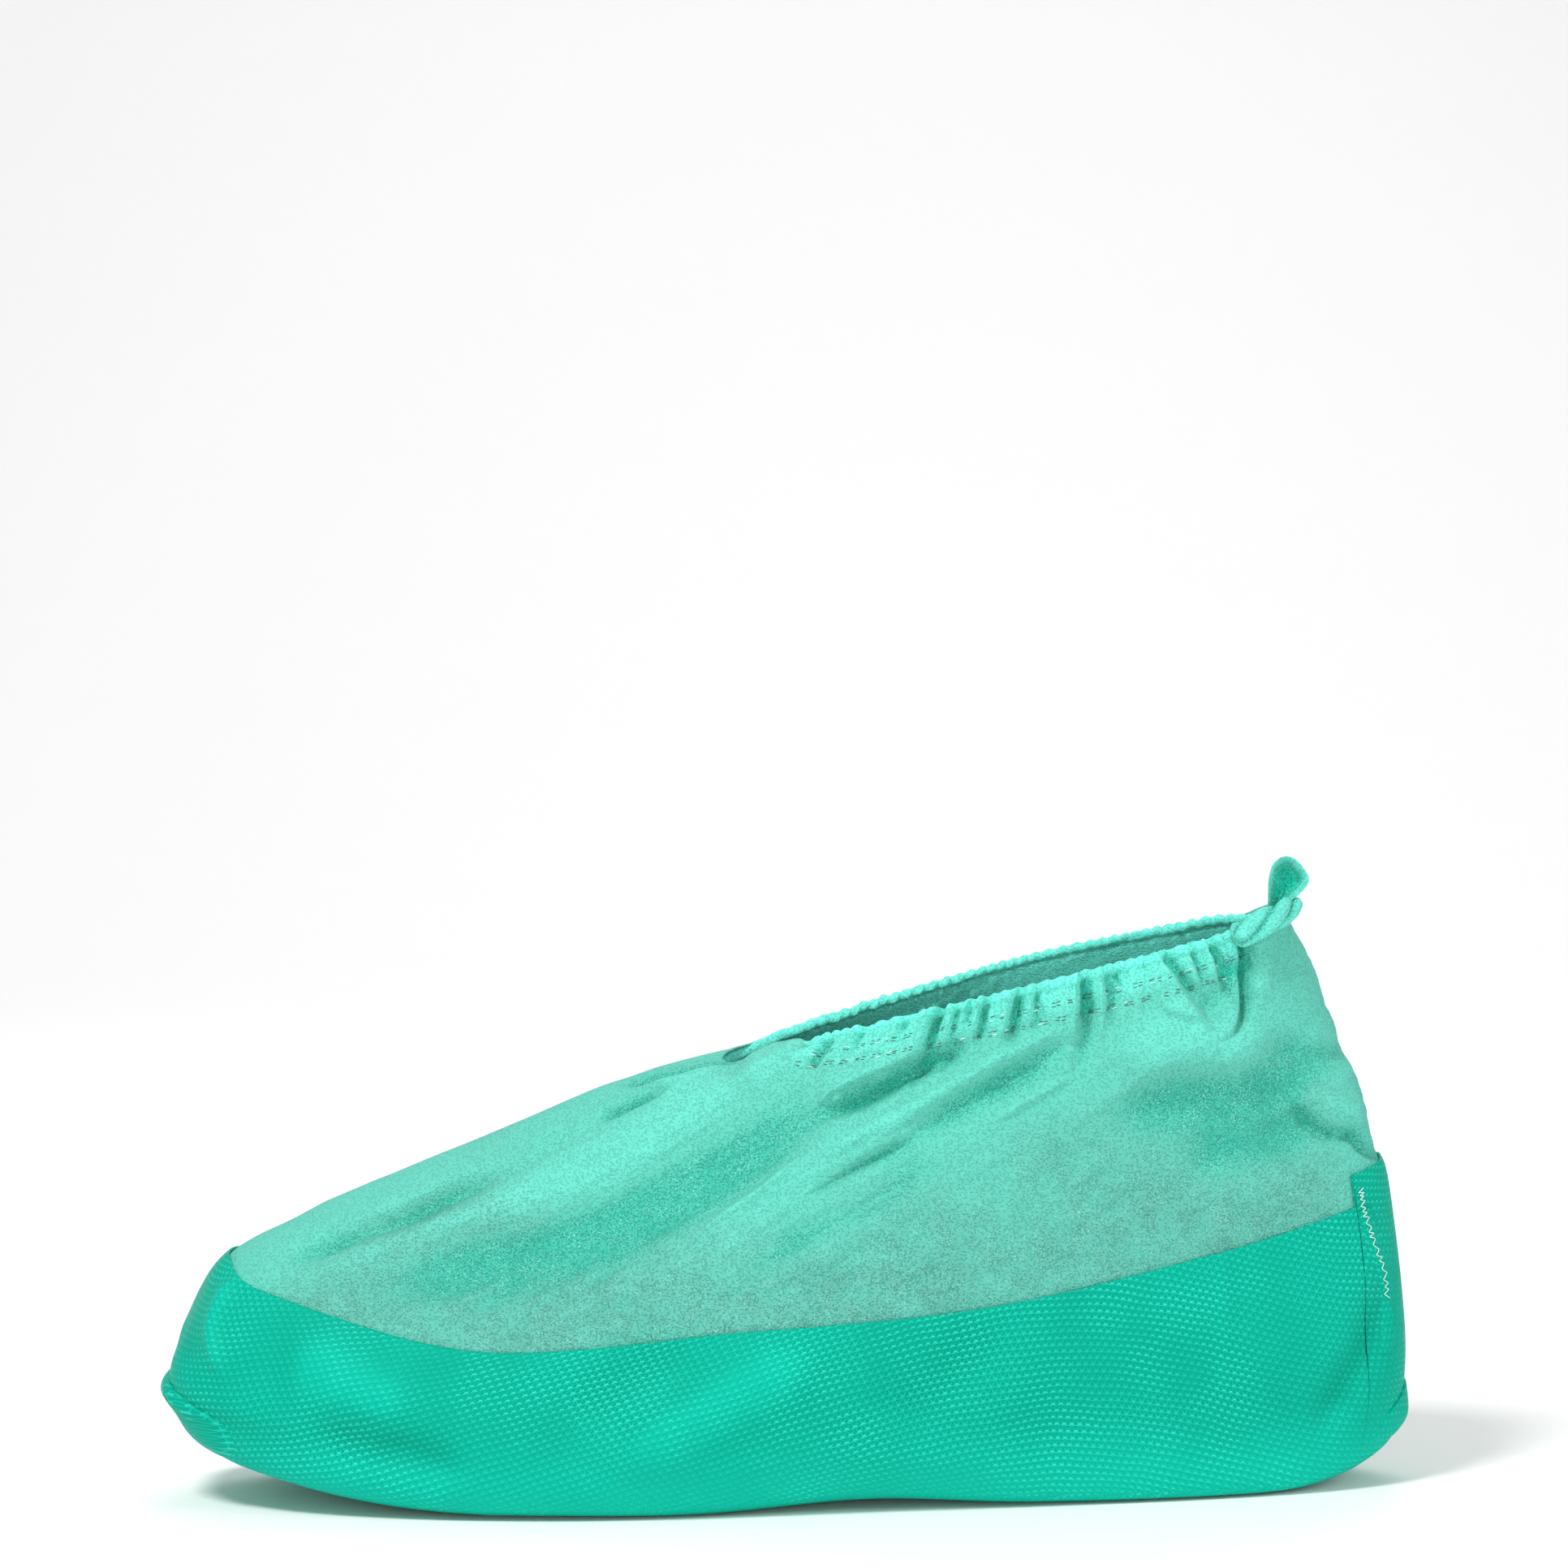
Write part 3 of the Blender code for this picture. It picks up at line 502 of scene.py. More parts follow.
# Floor sweep, in metres, and the surround's brightness
FLOOR_FRONT = 5.0
FLOOR_BACK = 1.2
FLOOR_SIDE = 5.0
SWEEP_RADIUS = 0.8
SWEEP_STEPS = 13
WALL_HEIGHT = 4.0
FLOOR_DROP = 0.0001
WORLD_STRENGTH = 0.42

# Camera
CAMERA_PLACE = (0.8, -1600.0, 295.0)
CAMERA_AIM = (0.8, 0.0, 181.3)
CAMERA_ROLL = math.radians(-0.6)
PICTURE_WIDTH = 402.8
SENSOR = 36.0


def smooth_through(stations, values, at):
    """Values at the places asked for, on a smooth curve through the stations that never overshoots them."""
    stations = np.asarray(stations, float)
    values = np.asarray(values, float)
    steps = np.diff(stations)
    slopes = np.diff(values) / steps
    tangents = np.zeros(len(values))
    for i in range(1, len(values) - 1):
        if slopes[i - 1] * slopes[i] > 0:
            before = 2 * steps[i] + steps[i - 1]
            after = steps[i] + 2 * steps[i - 1]
            tangents[i] = (before + after) / (before / slopes[i - 1] + after / slopes[i])
    tangents[0] = slopes[0]
    tangents[-1] = slopes[-1]
    at = np.clip(at, stations[0], stations[-1])
    k = np.clip(np.searchsorted(stations, at, side="right") - 1, 0, len(steps) - 1)
    t = (at - stations[k]) / steps[k]
    start = values[k] * (1 + 2 * t) * (1 - t) ** 2 + tangents[k] * steps[k] * t * (1 - t) ** 2
    end = values[k + 1] * t * t * (3 - 2 * t) + tangents[k + 1] * steps[k] * t * t * (t - 1)
    return start + end


def sized(row):
    """A section's percentages as millimetres of the driving dimensions."""
    sizes = [share * whole / 100 for share, whole in zip(row[1:], PERCENT_OF)]
    return Section(row.name, *sizes, row.on_ground, row.blunt)


OUTLINES = [sized(row) for row in SECTIONS]


def smooth_step(value, low, high):
    """0 below low, 1 above high, and smooth between."""
    share = np.clip((value - low) / (high - low), 0, 1)
    return share * share * (3 - 2 * share)


def sway(wave, place):
    """Swing of a gentle wave at each place."""
    return wave.swing * np.sin(place / wave.length + wave.start)


def unit(vectors):
    """The same directions with a length of one."""
    return vectors / np.linalg.norm(vectors, axis=-1, keepdims=True)


def noise_at(places):
    """Smooth noise at each of many places."""
    return np.array([noise.noise(place) for place in places.tolist()])


def underside(x):
    """Height of the sole's underside: toe spring, low arch and the lifted back edge of the heel."""
    spring = TOE_SPRING * (np.maximum(FLAT_FRONT - x, 0) / SPRING_LENGTH) ** 1.6
    lift = HEEL_LIFT * (np.maximum(x - FLAT_BACK, 0) / LIFT_LENGTH) ** 2
    share = np.clip((x - ARCH_FRONT) / (ARCH_BACK - ARCH_FRONT), 0, 1)
    return spring + lift + ARCH_RISE * np.sin(math.pi * share) ** 2


def centre_line(x):
    """Sideways place of the shoe's middle line, which bends inwards towards the toe."""
    share = np.clip((SWING_FROM - x) / (SWING_FROM + LENGTH / 2), 0, 1)
    return -TOE_SWING * share ** 2


def section_points(row, angles):
    """Points of one level outline at the angles, with shape (angles, 3)."""
    share = (1 - np.cos(angles)) / 2
    inner = np.sin(angles) >= 0
    x = row.front + (row.back - row.front) * share
    inner_width = smooth_through(
        (0, BALL_IN, WAIST, HEEL, 1), (row.nose, row.ball, row.waist_in, row.heel, row.tail), share)
    outer_width = smooth_through(
        (0, BALL_OUT, WAIST, HEEL, 1), (row.nose, row.ball, row.waist_out, row.heel, row.tail), share)
    blunt = row.blunt + (TAIL_BLUNT - row.blunt) * share
    roundness = np.abs(np.sin(angles)) ** blunt
    y = np.where(inner, -inner_width, outer_width) * roundness + centre_line(x)
    heights = (row.z_front, row.z_ball, row.z_mid, row.z_waist, row.z_heel, row.z_back)
    z = smooth_through(HEIGHT_STATIONS, heights, share)
    z = z + row.on_ground * underside(x)
    return np.stack([x, y, z], axis=1)


def between(before, start, end, after, t):
    """Values on a smooth curve from start to end, led by the values on both sides."""
    return 0.5 * (
        2 * start
        + (end - before) * t
        + (2 * before - 5 * start + 4 * end - after) * t ** 2
        + (3 * start - before - 3 * end + after) * t ** 3
    )


def surface(angles, levels):
    """Points of the shoe's outer form at pairs of angle and level, on curves through the section outlines."""
    angles = np.asarray(angles, float)
    levels = np.broadcast_to(np.asarray(levels, float), angles.shape)
    rows = np.stack([section_points(row, angles) for row in OUTLINES])
    first = 2 * rows[:1] - rows[1:2]
    last = 2 * rows[-1:] - rows[-2:-1]
    rows = np.concatenate([first, rows, last])
    k = np.clip(np.floor(levels).astype(int), 0, RIM - 1)
    t = (levels - k)[:, None]
    each = np.arange(len(angles))
    return between(*(rows[k + i, each] for i in range(4)), t)


def ring_through(values, at):
    """Values on a closed smooth curve through a ring of values, one step from each to the next."""
    values = np.asarray(values, float)
    k = np.floor(at).astype(int)
    return between(*(values[(k + i) % len(values)] for i in (-1, 0, 1, 2)), at - k)


def outward(angles, levels):
    """Unit normals of the outer form, pointing out of the shoe."""
    step = 0.01
    levels = np.broadcast_to(np.asarray(levels, float), np.shape(angles))
    around = surface(angles + step, levels) - surface(angles - step, levels)
    levels = np.clip(levels, step, RIM - step)
    up = surface(angles, levels + step) - surface(angles, levels - step)
    return unit(np.cross(around, up))


def film_edge_level(angles):
    """Level of the film's top edge: the outer half stands higher, with a step at the back seam."""
    inner_half = smooth_step(angles, *FRONT_BLEND) * (angles < BACK_SEAM)
    towards_heel = (0.5 - 0.5 * np.cos(angles)) ** 3
    rise = OUTER_RISE[0] + (OUTER_RISE[1] - OUTER_RISE[0]) * towards_heel
    return FILM_EDGE + rise * (1 - inner_half)


def rim_reach(angles):
    """Length along the upper of the last section step below the rim."""
    return np.linalg.norm(surface(angles, RIM) - surface(angles, RIM - 1.0), axis=1)


def level_below_rim(angles, drop):
    """Level that lies a given distance below the rim, measured along the upper."""
    return RIM - drop / rim_reach(angles)


ROUND = np.linspace(0, 2 * math.pi, 2881)
RIM_STEPS = np.linalg.norm(np.diff(surface(ROUND, RIM), axis=0), axis=1)
RIM_ARC = np.concatenate([[0], np.cumsum(RIM_STEPS)])


def rim_place(angles):
    """Distance along the rim from the front of the collar, in millimetres."""
    return np.interp(np.mod(angles, 2 * math.pi), ROUND, RIM_ARC)


def near_rim_place(x):
    """The same distance for a place on the inner side, given by its x."""
    near = ROUND <= math.pi
    return np.interp(x, surface(ROUND[near], RIM)[:, 0], RIM_ARC[near])


PLEAT_PLACES = [near_rim_place(pleat.x) for pleat in PLEATS]


def hem_tuck(angles):
    """1 where the cloth covers the hem, at the front and behind the slit at the back, and 0 elsewhere."""
    place = rim_place(angles)
    whole = RIM_ARC[-1]
    front_inner = 1 - smooth_step(place, *FRONT_TUCK_INNER)
    front_outer = smooth_step(place - whole, *FRONT_TUCK_OUTER)
    rear = smooth_step(place, *REAR_TUCK_FROM) * (1 - smooth_step(place - whole / 2, *REAR_TUCK_TO))
    return np.maximum(np.maximum(front_inner, front_outer), rear)


def hem_calm(angles):
    """1 where the hem's gathers are lowest: where it is covered, or near the front of the outer side."""
    front = smooth_step(rim_place(angles) - RIM_ARC[-1], *FRONT_CALM)
    return np.maximum(hem_tuck(angles), front)


def curve_through(route):
    """Points along a smooth curve through a short route in the side view."""
    route = np.asarray(route, float)
    steps = np.linalg.norm(np.diff(route, axis=0), axis=1)
    at = np.concatenate([[0], np.cumsum(steps)]) / steps.sum()
    share = np.linspace(0, 1, ROUTE_POINTS)
    return np.stack([smooth_through(at, route[:, i], share) for i in (0, 1)], axis=1)


def beside(route, x, z):
    """Signed distance to a route, positive on its left, and the share of the route at the nearest place."""
    line = curve_through(route)
    nearest = np.full(x.shape, np.inf)
    signed = np.zeros(x.shape)
    share = np.zeros(x.shape)
    for i, start in enumerate(line[:-1]):
        ahead = line[i + 1] - start
        along = ((x - start[0]) * ahead[0] + (z - start[1]) * ahead[1]) / (ahead @ ahead)
        along = np.clip(along, 0, 1)
        gap = np.hypot(x - start[0] - along * ahead[0], z - start[1] - along * ahead[1])
        left = np.sign(ahead[0] * (z - start[1]) - ahead[1] * (x - start[0]))
        closer = gap < nearest
        nearest = np.where(closer, gap, nearest)
        signed = np.where(closer, gap * left, signed)
        share = np.where(closer, (i + along) / (len(line) - 1), share)
    return signed, share


def crease_height(crease, x, z):
    """Height that one crease adds at places of the side view, fading out at the ends of its route."""
    reach = crease.width * (LIP_REACH if crease.kind == "lip" else FOLD_REACH)
    low = np.min(crease.route, axis=0) - reach
    high = np.max(crease.route, axis=0) + reach
    close = (x > low[0]) & (x < high[0]) & (z > low[1]) & (z < high[1])
    height = np.zeros(x.shape)
    signed, share = beside(crease.route, x[close], z[close])
    fade = smooth_step(np.minimum(share, 1 - share), 0, FADE_SHARE)
    width = crease.width * (END_WIDTH + (1 - END_WIDTH) * fade)
    if crease.kind == "lip":
        edge = 0.5 + 0.5 * np.tanh(2 * signed / width)
        shape = edge * np.exp(-np.maximum(signed, 0) / (LIP_SLOPE * width))
    else:
        shape = np.exp(-(signed / width) ** 2)
    height[close] = crease.height * fade * shape
    return height


def gathers(angles, drop):
    """Height of the hem's gathers and pleats, which fade out below the hem."""
    place = rim_place(angles)
    phase = place / GATHER_PITCH + sum(sway(wave, place) for wave in GATHER_SWAYS) + GATHER_LEAN * drop
    full = 1 - FULL_SWAY.swing + sway(FULL_SWAY, place)
    fall = GATHER_FALL * (1 + sway(FALL_SWAY, place))
    lobes = 2 * (np.cos(math.pi * phase) ** 2 + LOBE_FLOOR) ** LOBE_POWER - LOBE_DROP
    height = GATHER_HEIGHT * full * lobes / (1 + (drop / fall) ** FALL_POWER)
    for pleat, at in zip(PLEATS, PLEAT_PLACES):
        away = (place - at - pleat.lean * drop) / pleat.width
        shape = PLEAT_CREST * np.exp(-np.abs(away)) - np.exp(-(away - PLEAT_HOLLOW) ** 2)
        height += pleat.height * shape / (1 + (drop / pleat.fall) ** FALL_POWER)
    return height * (1 - HEM_CALM * hem_calm(angles))


def wrinkles(points):
    """Low irregular wrinkles, drawn out along the main folds."""
    cos, sin = math.cos(FOLD_SLOPE), math.sin(FOLD_SLOPE)
    along = (points[:, 0] * cos + points[:, 2] * sin) / WRINKLE_LONG
    across = (points[:, 2] * cos - points[:, 0] * sin) / WRINKLE_WIDE
    places = np.stack([along, across, points[:, 1] / WRINKLE_LONG], axis=1)
    crests = CREST_TOP - CREST_SLOPE * np.abs(noise_at(places * CREST_SCALE + CREST_SHIFT))
    return WRINKLE_HEIGHT * (noise_at(places) + CREST_SHARE * crests)


def relief(angles, levels):
    """Height of all folds over the outer form at pairs of angle and level."""
    points = surface(angles, levels)
    x, y, z = points.T
    near = smooth_step(centre_line(x) - y, *NEAR_BLEND)
    far_x = x + FAR_SHIFT[0] + sway(FAR_SWAY, z)
    far_z = z + FAR_SHIFT[1]
    on_top = (1 - smooth_step(np.abs(y - centre_line(x)), *TOP_REACH)) * (1 - smooth_step(x, *TOP_END))
    lower = 1 - TOP_CALM * on_top
    total = wrinkles(points) * lower * smooth_step(levels, *WRINKLE_LEVELS)
    total *= 1 - CALM_BY * smooth_step(x, *CALM_FROM)
    for crease in CREASES:
        height = near * crease_height(crease, x, z)
        if crease.far:
            height += (1 - near) * crease.far * crease_height(crease, far_x, far_z)
            height *= lower
        total += height
    total *= smooth_step(z - underside(x), *FLOOR_FADE)
    return total + gathers(angles, (RIM - levels) * rim_reach(angles))


def shaped(angles, levels, distance):
    """Points at a distance outside the creased form, and the height of the folds there."""
    angles = np.asarray(angles, float)
    levels = np.broadcast_to(np.asarray(levels, float), angles.shape)
    height = relief(angles, levels)
    points = surface(angles, levels) + outward(angles, levels) * np.reshape(height + distance, (-1, 1))
    return points, height


def grid_points(angles, level_rows, distance):
    """A grid of points of the creased form, a row for each array of levels, and the height of its folds."""
    rows = len(level_rows)
    levels = np.concatenate([np.broadcast_to(row, angles.shape) for row in level_rows])
    points, height = shaped(np.tile(angles, rows), levels, distance)
    return points.reshape(rows, len(angles), 3), height


def frame_shift():
    """Step from the form's own middle to the frame's, found from the box of the film tray."""
    low, high = (np.array(corner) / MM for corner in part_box("sole_film"))
    own = np.concatenate([surface(ROUND, level) for level in WIDEST_LEVELS])
    step = (low + high - own.min(axis=0) - own.max(axis=0)) / 2
    return np.array([step[0], step[1], 0.0])


SHIFT = frame_shift()


def finish_piece(name, points, faces, material, node=None):
    """A named smooth piece from points of the form, riding on the cover's one body."""
    mesh = bpy.data.meshes.new(name)
    mesh.from_pydata(((np.asarray(points) + SHIFT) * MM).tolist(), [], faces)
    mesh.polygons.foreach_set("use_smooth", np.ones(len(mesh.polygons), bool))
    mesh.materials.append(material)
    mesh.update()
    piece = bpy.data.objects.new(name, mesh)
    bpy.context.scene.collection.objects.link(piece)
    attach(piece, "root")
    if node:
        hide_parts(node)
    return piece


def grid_faces(rows, columns, close_rows, close_columns):
    """Quads of a grid of points, row after row, with its ends joined where asked."""
    faces = []
    for r in range(rows if close_rows else rows - 1):
        low, high = r * columns, (r + 1) % rows * columns
        for c in range(columns if close_columns else columns - 1):
            d = (c + 1) % columns
            faces.append((low + c, low + d, high + d, high + c))
    return faces


def turns_round(count):
    """Even turns round a ring of points."""
    return 2 * math.pi * np.arange(count) / count


def tube_faces(rows, columns):
    """Faces of a tube of rings, closed at both ends."""
    first = tuple(range(columns))
    last = tuple(range((rows - 1) * columns, rows * columns))
    return grid_faces(rows, columns, False, True) + [first[::-1], last]


def inside_rows(rows):
    """Fewer of a wall's rows for its inside, from the top down to the first."""
    kept = rows[::-INNER_STEP]
    return kept if kept[-1] is rows[0] else kept + [rows[0]]


def rungs(start, count, facing_down):
    """Faces across the sole between the inner and outer half of one row, whose columns mirror each other."""
    faces = []
    for i in range(count // 2):
        near, ahead = start + i, start + i + 1
        far, far_ahead = start + (count - i) % count, start + count - i - 1
        face = [near, far, far_ahead, ahead]
        faces.append(tuple(dict.fromkeys(face if facing_down else face[::-1])))
    return faces


def set_number(piece, name, values):
    """A number for each point of a piece, which its material can read."""
    attribute = piece.data.attributes.new(name, "FLOAT", "POINT")
    attribute.data.foreach_set("value", np.asarray(values, np.float32))


def set_places(piece, corners):
    """The flat place of each face corner, in millimetres, which the film's emboss follows."""
    layer = piece.data.uv_layers.new(name="flat_place")
    layer.data.foreach_set("uv", np.asarray(corners, np.float32).ravel())


class Graph:
    """A material's nodes, added and linked with few words."""

    def __init__(self, name):
        self.material = bpy.data.materials.new(name)
        self.material.use_nodes = True
        self.tree = self.material.node_tree
        self.shader = self.tree.nodes["Principled BSDF"]

    def put(self, socket, value):
        if isinstance(value, bpy.types.NodeSocket):
            self.tree.links.new(value, socket)
        else:
            socket.default_value = value

    def add(self, kind, inputs=(), output=0, **settings):
        node = self.tree.nodes.new(kind)
        for key, value in settings.items():
            setattr(node, key, value)
        for key, value in dict(inputs).items():
            self.put(node.inputs[key], value)
        return node.outputs[output]

    def math(self, operation, first, second=0.0, third=0.0):
        return self.add("ShaderNodeMath", {0: first, 1: second, 2: third}, operation=operation)

    def noise(self, place, size, detail=2.0, rough=0.5):
        inputs = {"Vector": place, "Scale": 1 / (size * MM), "Detail": detail, "Roughness": rough}
        return self.add("ShaderNodeTexNoise", inputs)

    def ramp(self, value, low, high, to_low=0.0, to_high=1.0):
        inputs = {0: value, 1: low, 2: high, 3: to_low, 4: to_high}
        return self.add("ShaderNodeMapRange", inputs, interpolation_type="SMOOTHSTEP")

    def mix(self, share, first, second):
        node = self.tree.nodes.new("ShaderNodeMix")
        node.data_type = "RGBA"
        self.put(node.inputs[0], share)
        self.put(node.inputs[6], first)
        self.put(node.inputs[7], second)
        return node.outputs[2]

    def object_place(self):
        return self.add("ShaderNodeTexCoord", output=3)

    def attribute(self, name):
        return self.add("ShaderNodeAttribute", output=2, attribute_name=name)

    def bump(self, height, depth):
        return self.add("ShaderNodeBump", {"Height": height, "Distance": depth * MM})

    def shift(self, place, step):
        return self.add("ShaderNodeVectorMath", {0: place, 1: step})

    def set(self, **inputs):
        for key, value in inputs.items():
            self.put(self.shader.inputs[key.replace("_", " ")], value)
        return self.material


def drifted_place(g, place):
    """The flat place, in millimetres, where the emboss wanders a little."""
    inputs = {"Vector": place, "Scale": 1 / (DRIFT_SIZE * MM), "Detail": 1.0}
    drift = g.add("ShaderNodeTexNoise", inputs, output=1)
    drift = g.add("ShaderNodeVectorMath", {0: drift, 1: (EMBOSS_DRIFT,) * 3}, operation="MULTIPLY")
    return g.shift(g.add("ShaderNodeUVMap", uv_map="flat_place"), drift)


def emboss(g, flat, power):
    """Height of a net of ridges in three directions, highest where they cross. A high power thins them."""
    net = 0.0
    for turn in EMBOSS_TURNS:
        normal = (math.sin(math.radians(turn)), math.cos(math.radians(turn)), 0)
        along = g.add("ShaderNodeVectorMath", {0: flat, 1: normal}, output=1, operation="DOT_PRODUCT")
        wave = g.math("COSINE", g.math("MULTIPLY", along, 2 * math.pi / EMBOSS_WAVE))
        net = g.math("ADD", net, g.math("POWER", g.math("MULTIPLY_ADD", wave, 0.5, 0.5), power))
    return net


def film_material():
    """Glossy green film with an embossed net. Painted highlights along its lines, or painted glints as
    crescents on its crossings, show in patches; painted shade darkens its hollows and the lower sides of its
    domes, and painted light brightens its ridges and low part.
    """
    g = Graph("film")
    place = g.object_place()
    flat = drifted_place(g, place)
    net = emboss(g, flat, BROAD_RIDGES)
    above = emboss(g, g.shift(flat, (0, GLINT_STEP, 0)), BROAD_RIDGES)
    below = emboss(g, g.shift(flat, (0, -GLINT_STEP, 0)), BROAD_RIDGES)
    dome = g.ramp(net, *DOME_EDGE)
    crescent = g.math("MULTIPLY", dome, g.ramp(above, *DOME_EDGE, 1.0, 0.0))
    shade = g.math("MULTIPLY", dome, g.ramp(below, *DOME_EDGE, 1.0, 0.0))
    lines = g.ramp(emboss(g, flat, FINE_RIDGES), *LINE_EDGE)
    line_patch = g.ramp(g.noise(place, LINE_SIZE, 2), *LINE_HIGHLIGHTS_SHOW)
    glint_patch = g.ramp(g.noise(place, GLINT_SIZE, 3), *GLINTS_SHOW)
    hollow = g.attribute("hollow")
    clouds = g.ramp(g.noise(place, CLOUD_SIZE, 2), *CLOUDS)
    height = g.add("ShaderNodeSeparateXYZ", {0: place}, output=2)
    # Painted shade in the film's hollows, and darker cloudy patches
    colour = g.mix(g.math("MAXIMUM", clouds, g.ramp(hollow, *FILM_HOLLOW_SHADE)), FILM_GREEN, FILM_DARK)
    colour = g.mix(g.ramp(hollow, *FILM_RIDGE_LIGHT), colour, FILM_LIT)
    colour = g.mix(g.ramp(height, *FILM_GLOW), colour, FILM_LIT)
    colour = g.mix(g.math("MULTIPLY", shade, DOME_SHADE), colour, FILM_DARK)
    # Painted highlights along the emboss lines, and painted glints as crescents on its crossings
    colour = g.mix(g.math("MULTIPLY", lines, line_patch), colour, FILM_NET_HIGHLIGHT)
    colour = g.mix(g.math("MULTIPLY", crescent, glint_patch), colour, FILM_GLINT)
    rough = g.ramp(g.noise(place, GLOSS_SIZE, 3), *FILM_ROUGH)
    return g.set(Base_Color=colour, Roughness=rough, Normal=g.bump(net, EMBOSS_BUMP), Specular_IOR_Level=0.03)


def cloth_colours(g, base, grey):
    """Colour and bump of nonwoven cloth: bonded fibres and small pits, with painted shade in its hollows and
    painted light on its ridges.
    """
    place = g.object_place()
    fibre = g.noise(place, FIBRE_SIZE, 3, 0.7)
    mottle = g.ramp(g.noise(place, MOTTLE_SIZE, 3, 0.6), *MOTTLE)
    wide = g.add("ShaderNodeVectorMath", {0: place, 1: PIT_STRETCH}, operation="MULTIPLY")
    cells = g.add("ShaderNodeTexVoronoi", {"Vector": wide, "Scale": 1 / (PIT_PITCH * MM)})
    uneven = g.math("MULTIPLY_ADD", g.noise(place, FIBRE_SIZE, 2), PIT_UNEVEN, cells)
    pits = g.ramp(uneven, *PIT_EDGE)
    hollow = g.attribute("hollow")
    low = g.math("MAXIMUM", g.ramp(hollow, *OPEN_LOW), grey)
    open_cloth = g.math("MULTIPLY_ADD", low, g.math("MULTIPLY_ADD", mottle, *OPEN_MOTTLE), OPEN_LEAST)
    # By fold depth: painted shade in troughs and deepest hollows, and painted light on ridges
    colour = g.mix(g.ramp(hollow, *CLOTH_TROUGH_SHADE), base, TROUGH_SHADE_TEAL)
    colour = g.mix(g.ramp(hollow, *CLOTH_RIDGE_LIGHT), colour, LIT_RIDGE_MINT)
    colour = g.mix(g.ramp(hollow, *CLOTH_DEEPEST_SHADE), colour, DEEPEST_SHADE_TEAL)
    colour = g.mix(g.math("MULTIPLY", g.ramp(fibre, *FIBRE_SHOWS), open_cloth), colour, PALE_FIBRE)
    colour = g.mix(g.math("MULTIPLY", pits, g.ramp(low, *PITS_SHOW)), colour, DEEP_FIBRE)
    height = g.math("SUBTRACT", fibre, g.math("MULTIPLY", pits, PIT_DEPTH))
    return colour, g.bump(height, CLOTH_BUMP)


def cloth_material():
    """The upper's cloth, greyer where it lies close over what it covers."""
    g = Graph("cloth")
    mottle = g.ramp(g.noise(g.object_place(), GREY_SIZE, 3, 0.6), *GREY_MOTTLE)
    grey = g.math("MULTIPLY", g.attribute("grey"), mottle)
    colour, normal = cloth_colours(g, g.mix(grey, MINT, GREY_MINT), grey)
    return g.set(Base_Color=colour, Roughness=0.85, Normal=normal, **CLOTH_GLOSS)


def hem_material():
    """The doubled cloth of the hem, brighter than the upper."""
    g = Graph("hem")
    colour, normal = cloth_colours(g, g.mix(g.attribute("double"), MINT, HEM_MINT), 0.0)
    return g.set(Base_Color=colour, Roughness=0.82, Normal=normal, **CLOTH_GLOSS)


def thread_material(name, colour):
    """Twisted thread, slightly uneven in colour."""
    g = Graph(name)
    twist = g.noise(g.object_place(), TWIST_SIZE, 2)
    darker = tuple(TWIST_DARK * c for c in colour[:3]) + (1,)
    shade = g.mix(g.ramp(twist, *TWIST_SHADE), colour, darker)
    return g.set(Base_Color=shade, Roughness=0.7, Normal=g.bump(twist, TWIST_BUMP))


def column_angles(count):
    """Even steps around the form, doubled at the back seam so that the film's edge can step there."""
    pitch = 2 * math.pi / count
    even = np.arange(count // 2 + 1) * pitch
    kept = [a for a in even if abs(a - BACK_SEAM) > pitch / 2]
    inner = np.array(sorted(kept + [BACK_SEAM - SEAM_HALF, BACK_SEAM + SEAM_HALF]))
    outer = 2 * math.pi - inner[-2:0:-1]
    return np.concatenate([inner, outer])


def greyness(angles, levels):
    """Where the cloth looks greyer: low on the sides above the film, and in patches."""
    points = surface(angles, levels)
    above = np.asarray(levels) - FILM_EDGE
    side = smooth_step(np.abs(np.sin(angles)), *GREY_SIDE)
    reach = GREY_REACH + smooth_step(points[:, 0], *GREY_REAR)
    patch = GREY_UNEVEN * noise_at(points / GREY_PATCH) - GREY_LESS
    return np.clip(side * (1 - smooth_step(above, GREY_FROM, reach)) + patch, 0, 1)


def build_upper(material):
    """The creased cloth upper, from its lap inside the film to its edge inside the hem."""
    angles = np.concatenate([
        np.linspace(0, math.pi, UPPER_INNER_COLUMNS, endpoint=False),
        np.linspace(math.pi, 2 * math.pi, UPPER_OUTER_COLUMNS, endpoint=False)])
    top = level_below_rim(angles, HEM_TOP * (1 - hem_tuck(angles)))
    foot = FILM_EDGE - LAP
    share = np.linspace(0, 1, UPPER_ROWS) ** ROW_POWER
    rows = [foot + (top - foot) * s for s in share]
    inner_rows = inside_rows(rows)
    outer, outer_height = grid_points(angles, rows, CLOTH_OUTSIDE)
    inner, inner_height = grid_points(angles, inner_rows, CLOTH_OUTSIDE - CLOTH_WALL)
    points = np.concatenate([outer, inner])
    faces = grid_faces(len(points), len(angles), True, True)
    piece = finish_piece("upper_cloth", points.reshape(-1, 3), faces, material, "upper")
    # Fold depth, which the cloth's material turns into painted shade in troughs and painted light on ridges
    hollow = np.clip(-np.concatenate([outer_height, inner_height]) / HOLLOW_DEPTH, -1, 2)
    set_number(piece, "hollow", hollow)
    set_number(piece, "grey", np.concatenate([greyness(angles, row) for row in rows + inner_rows]))
    return piece


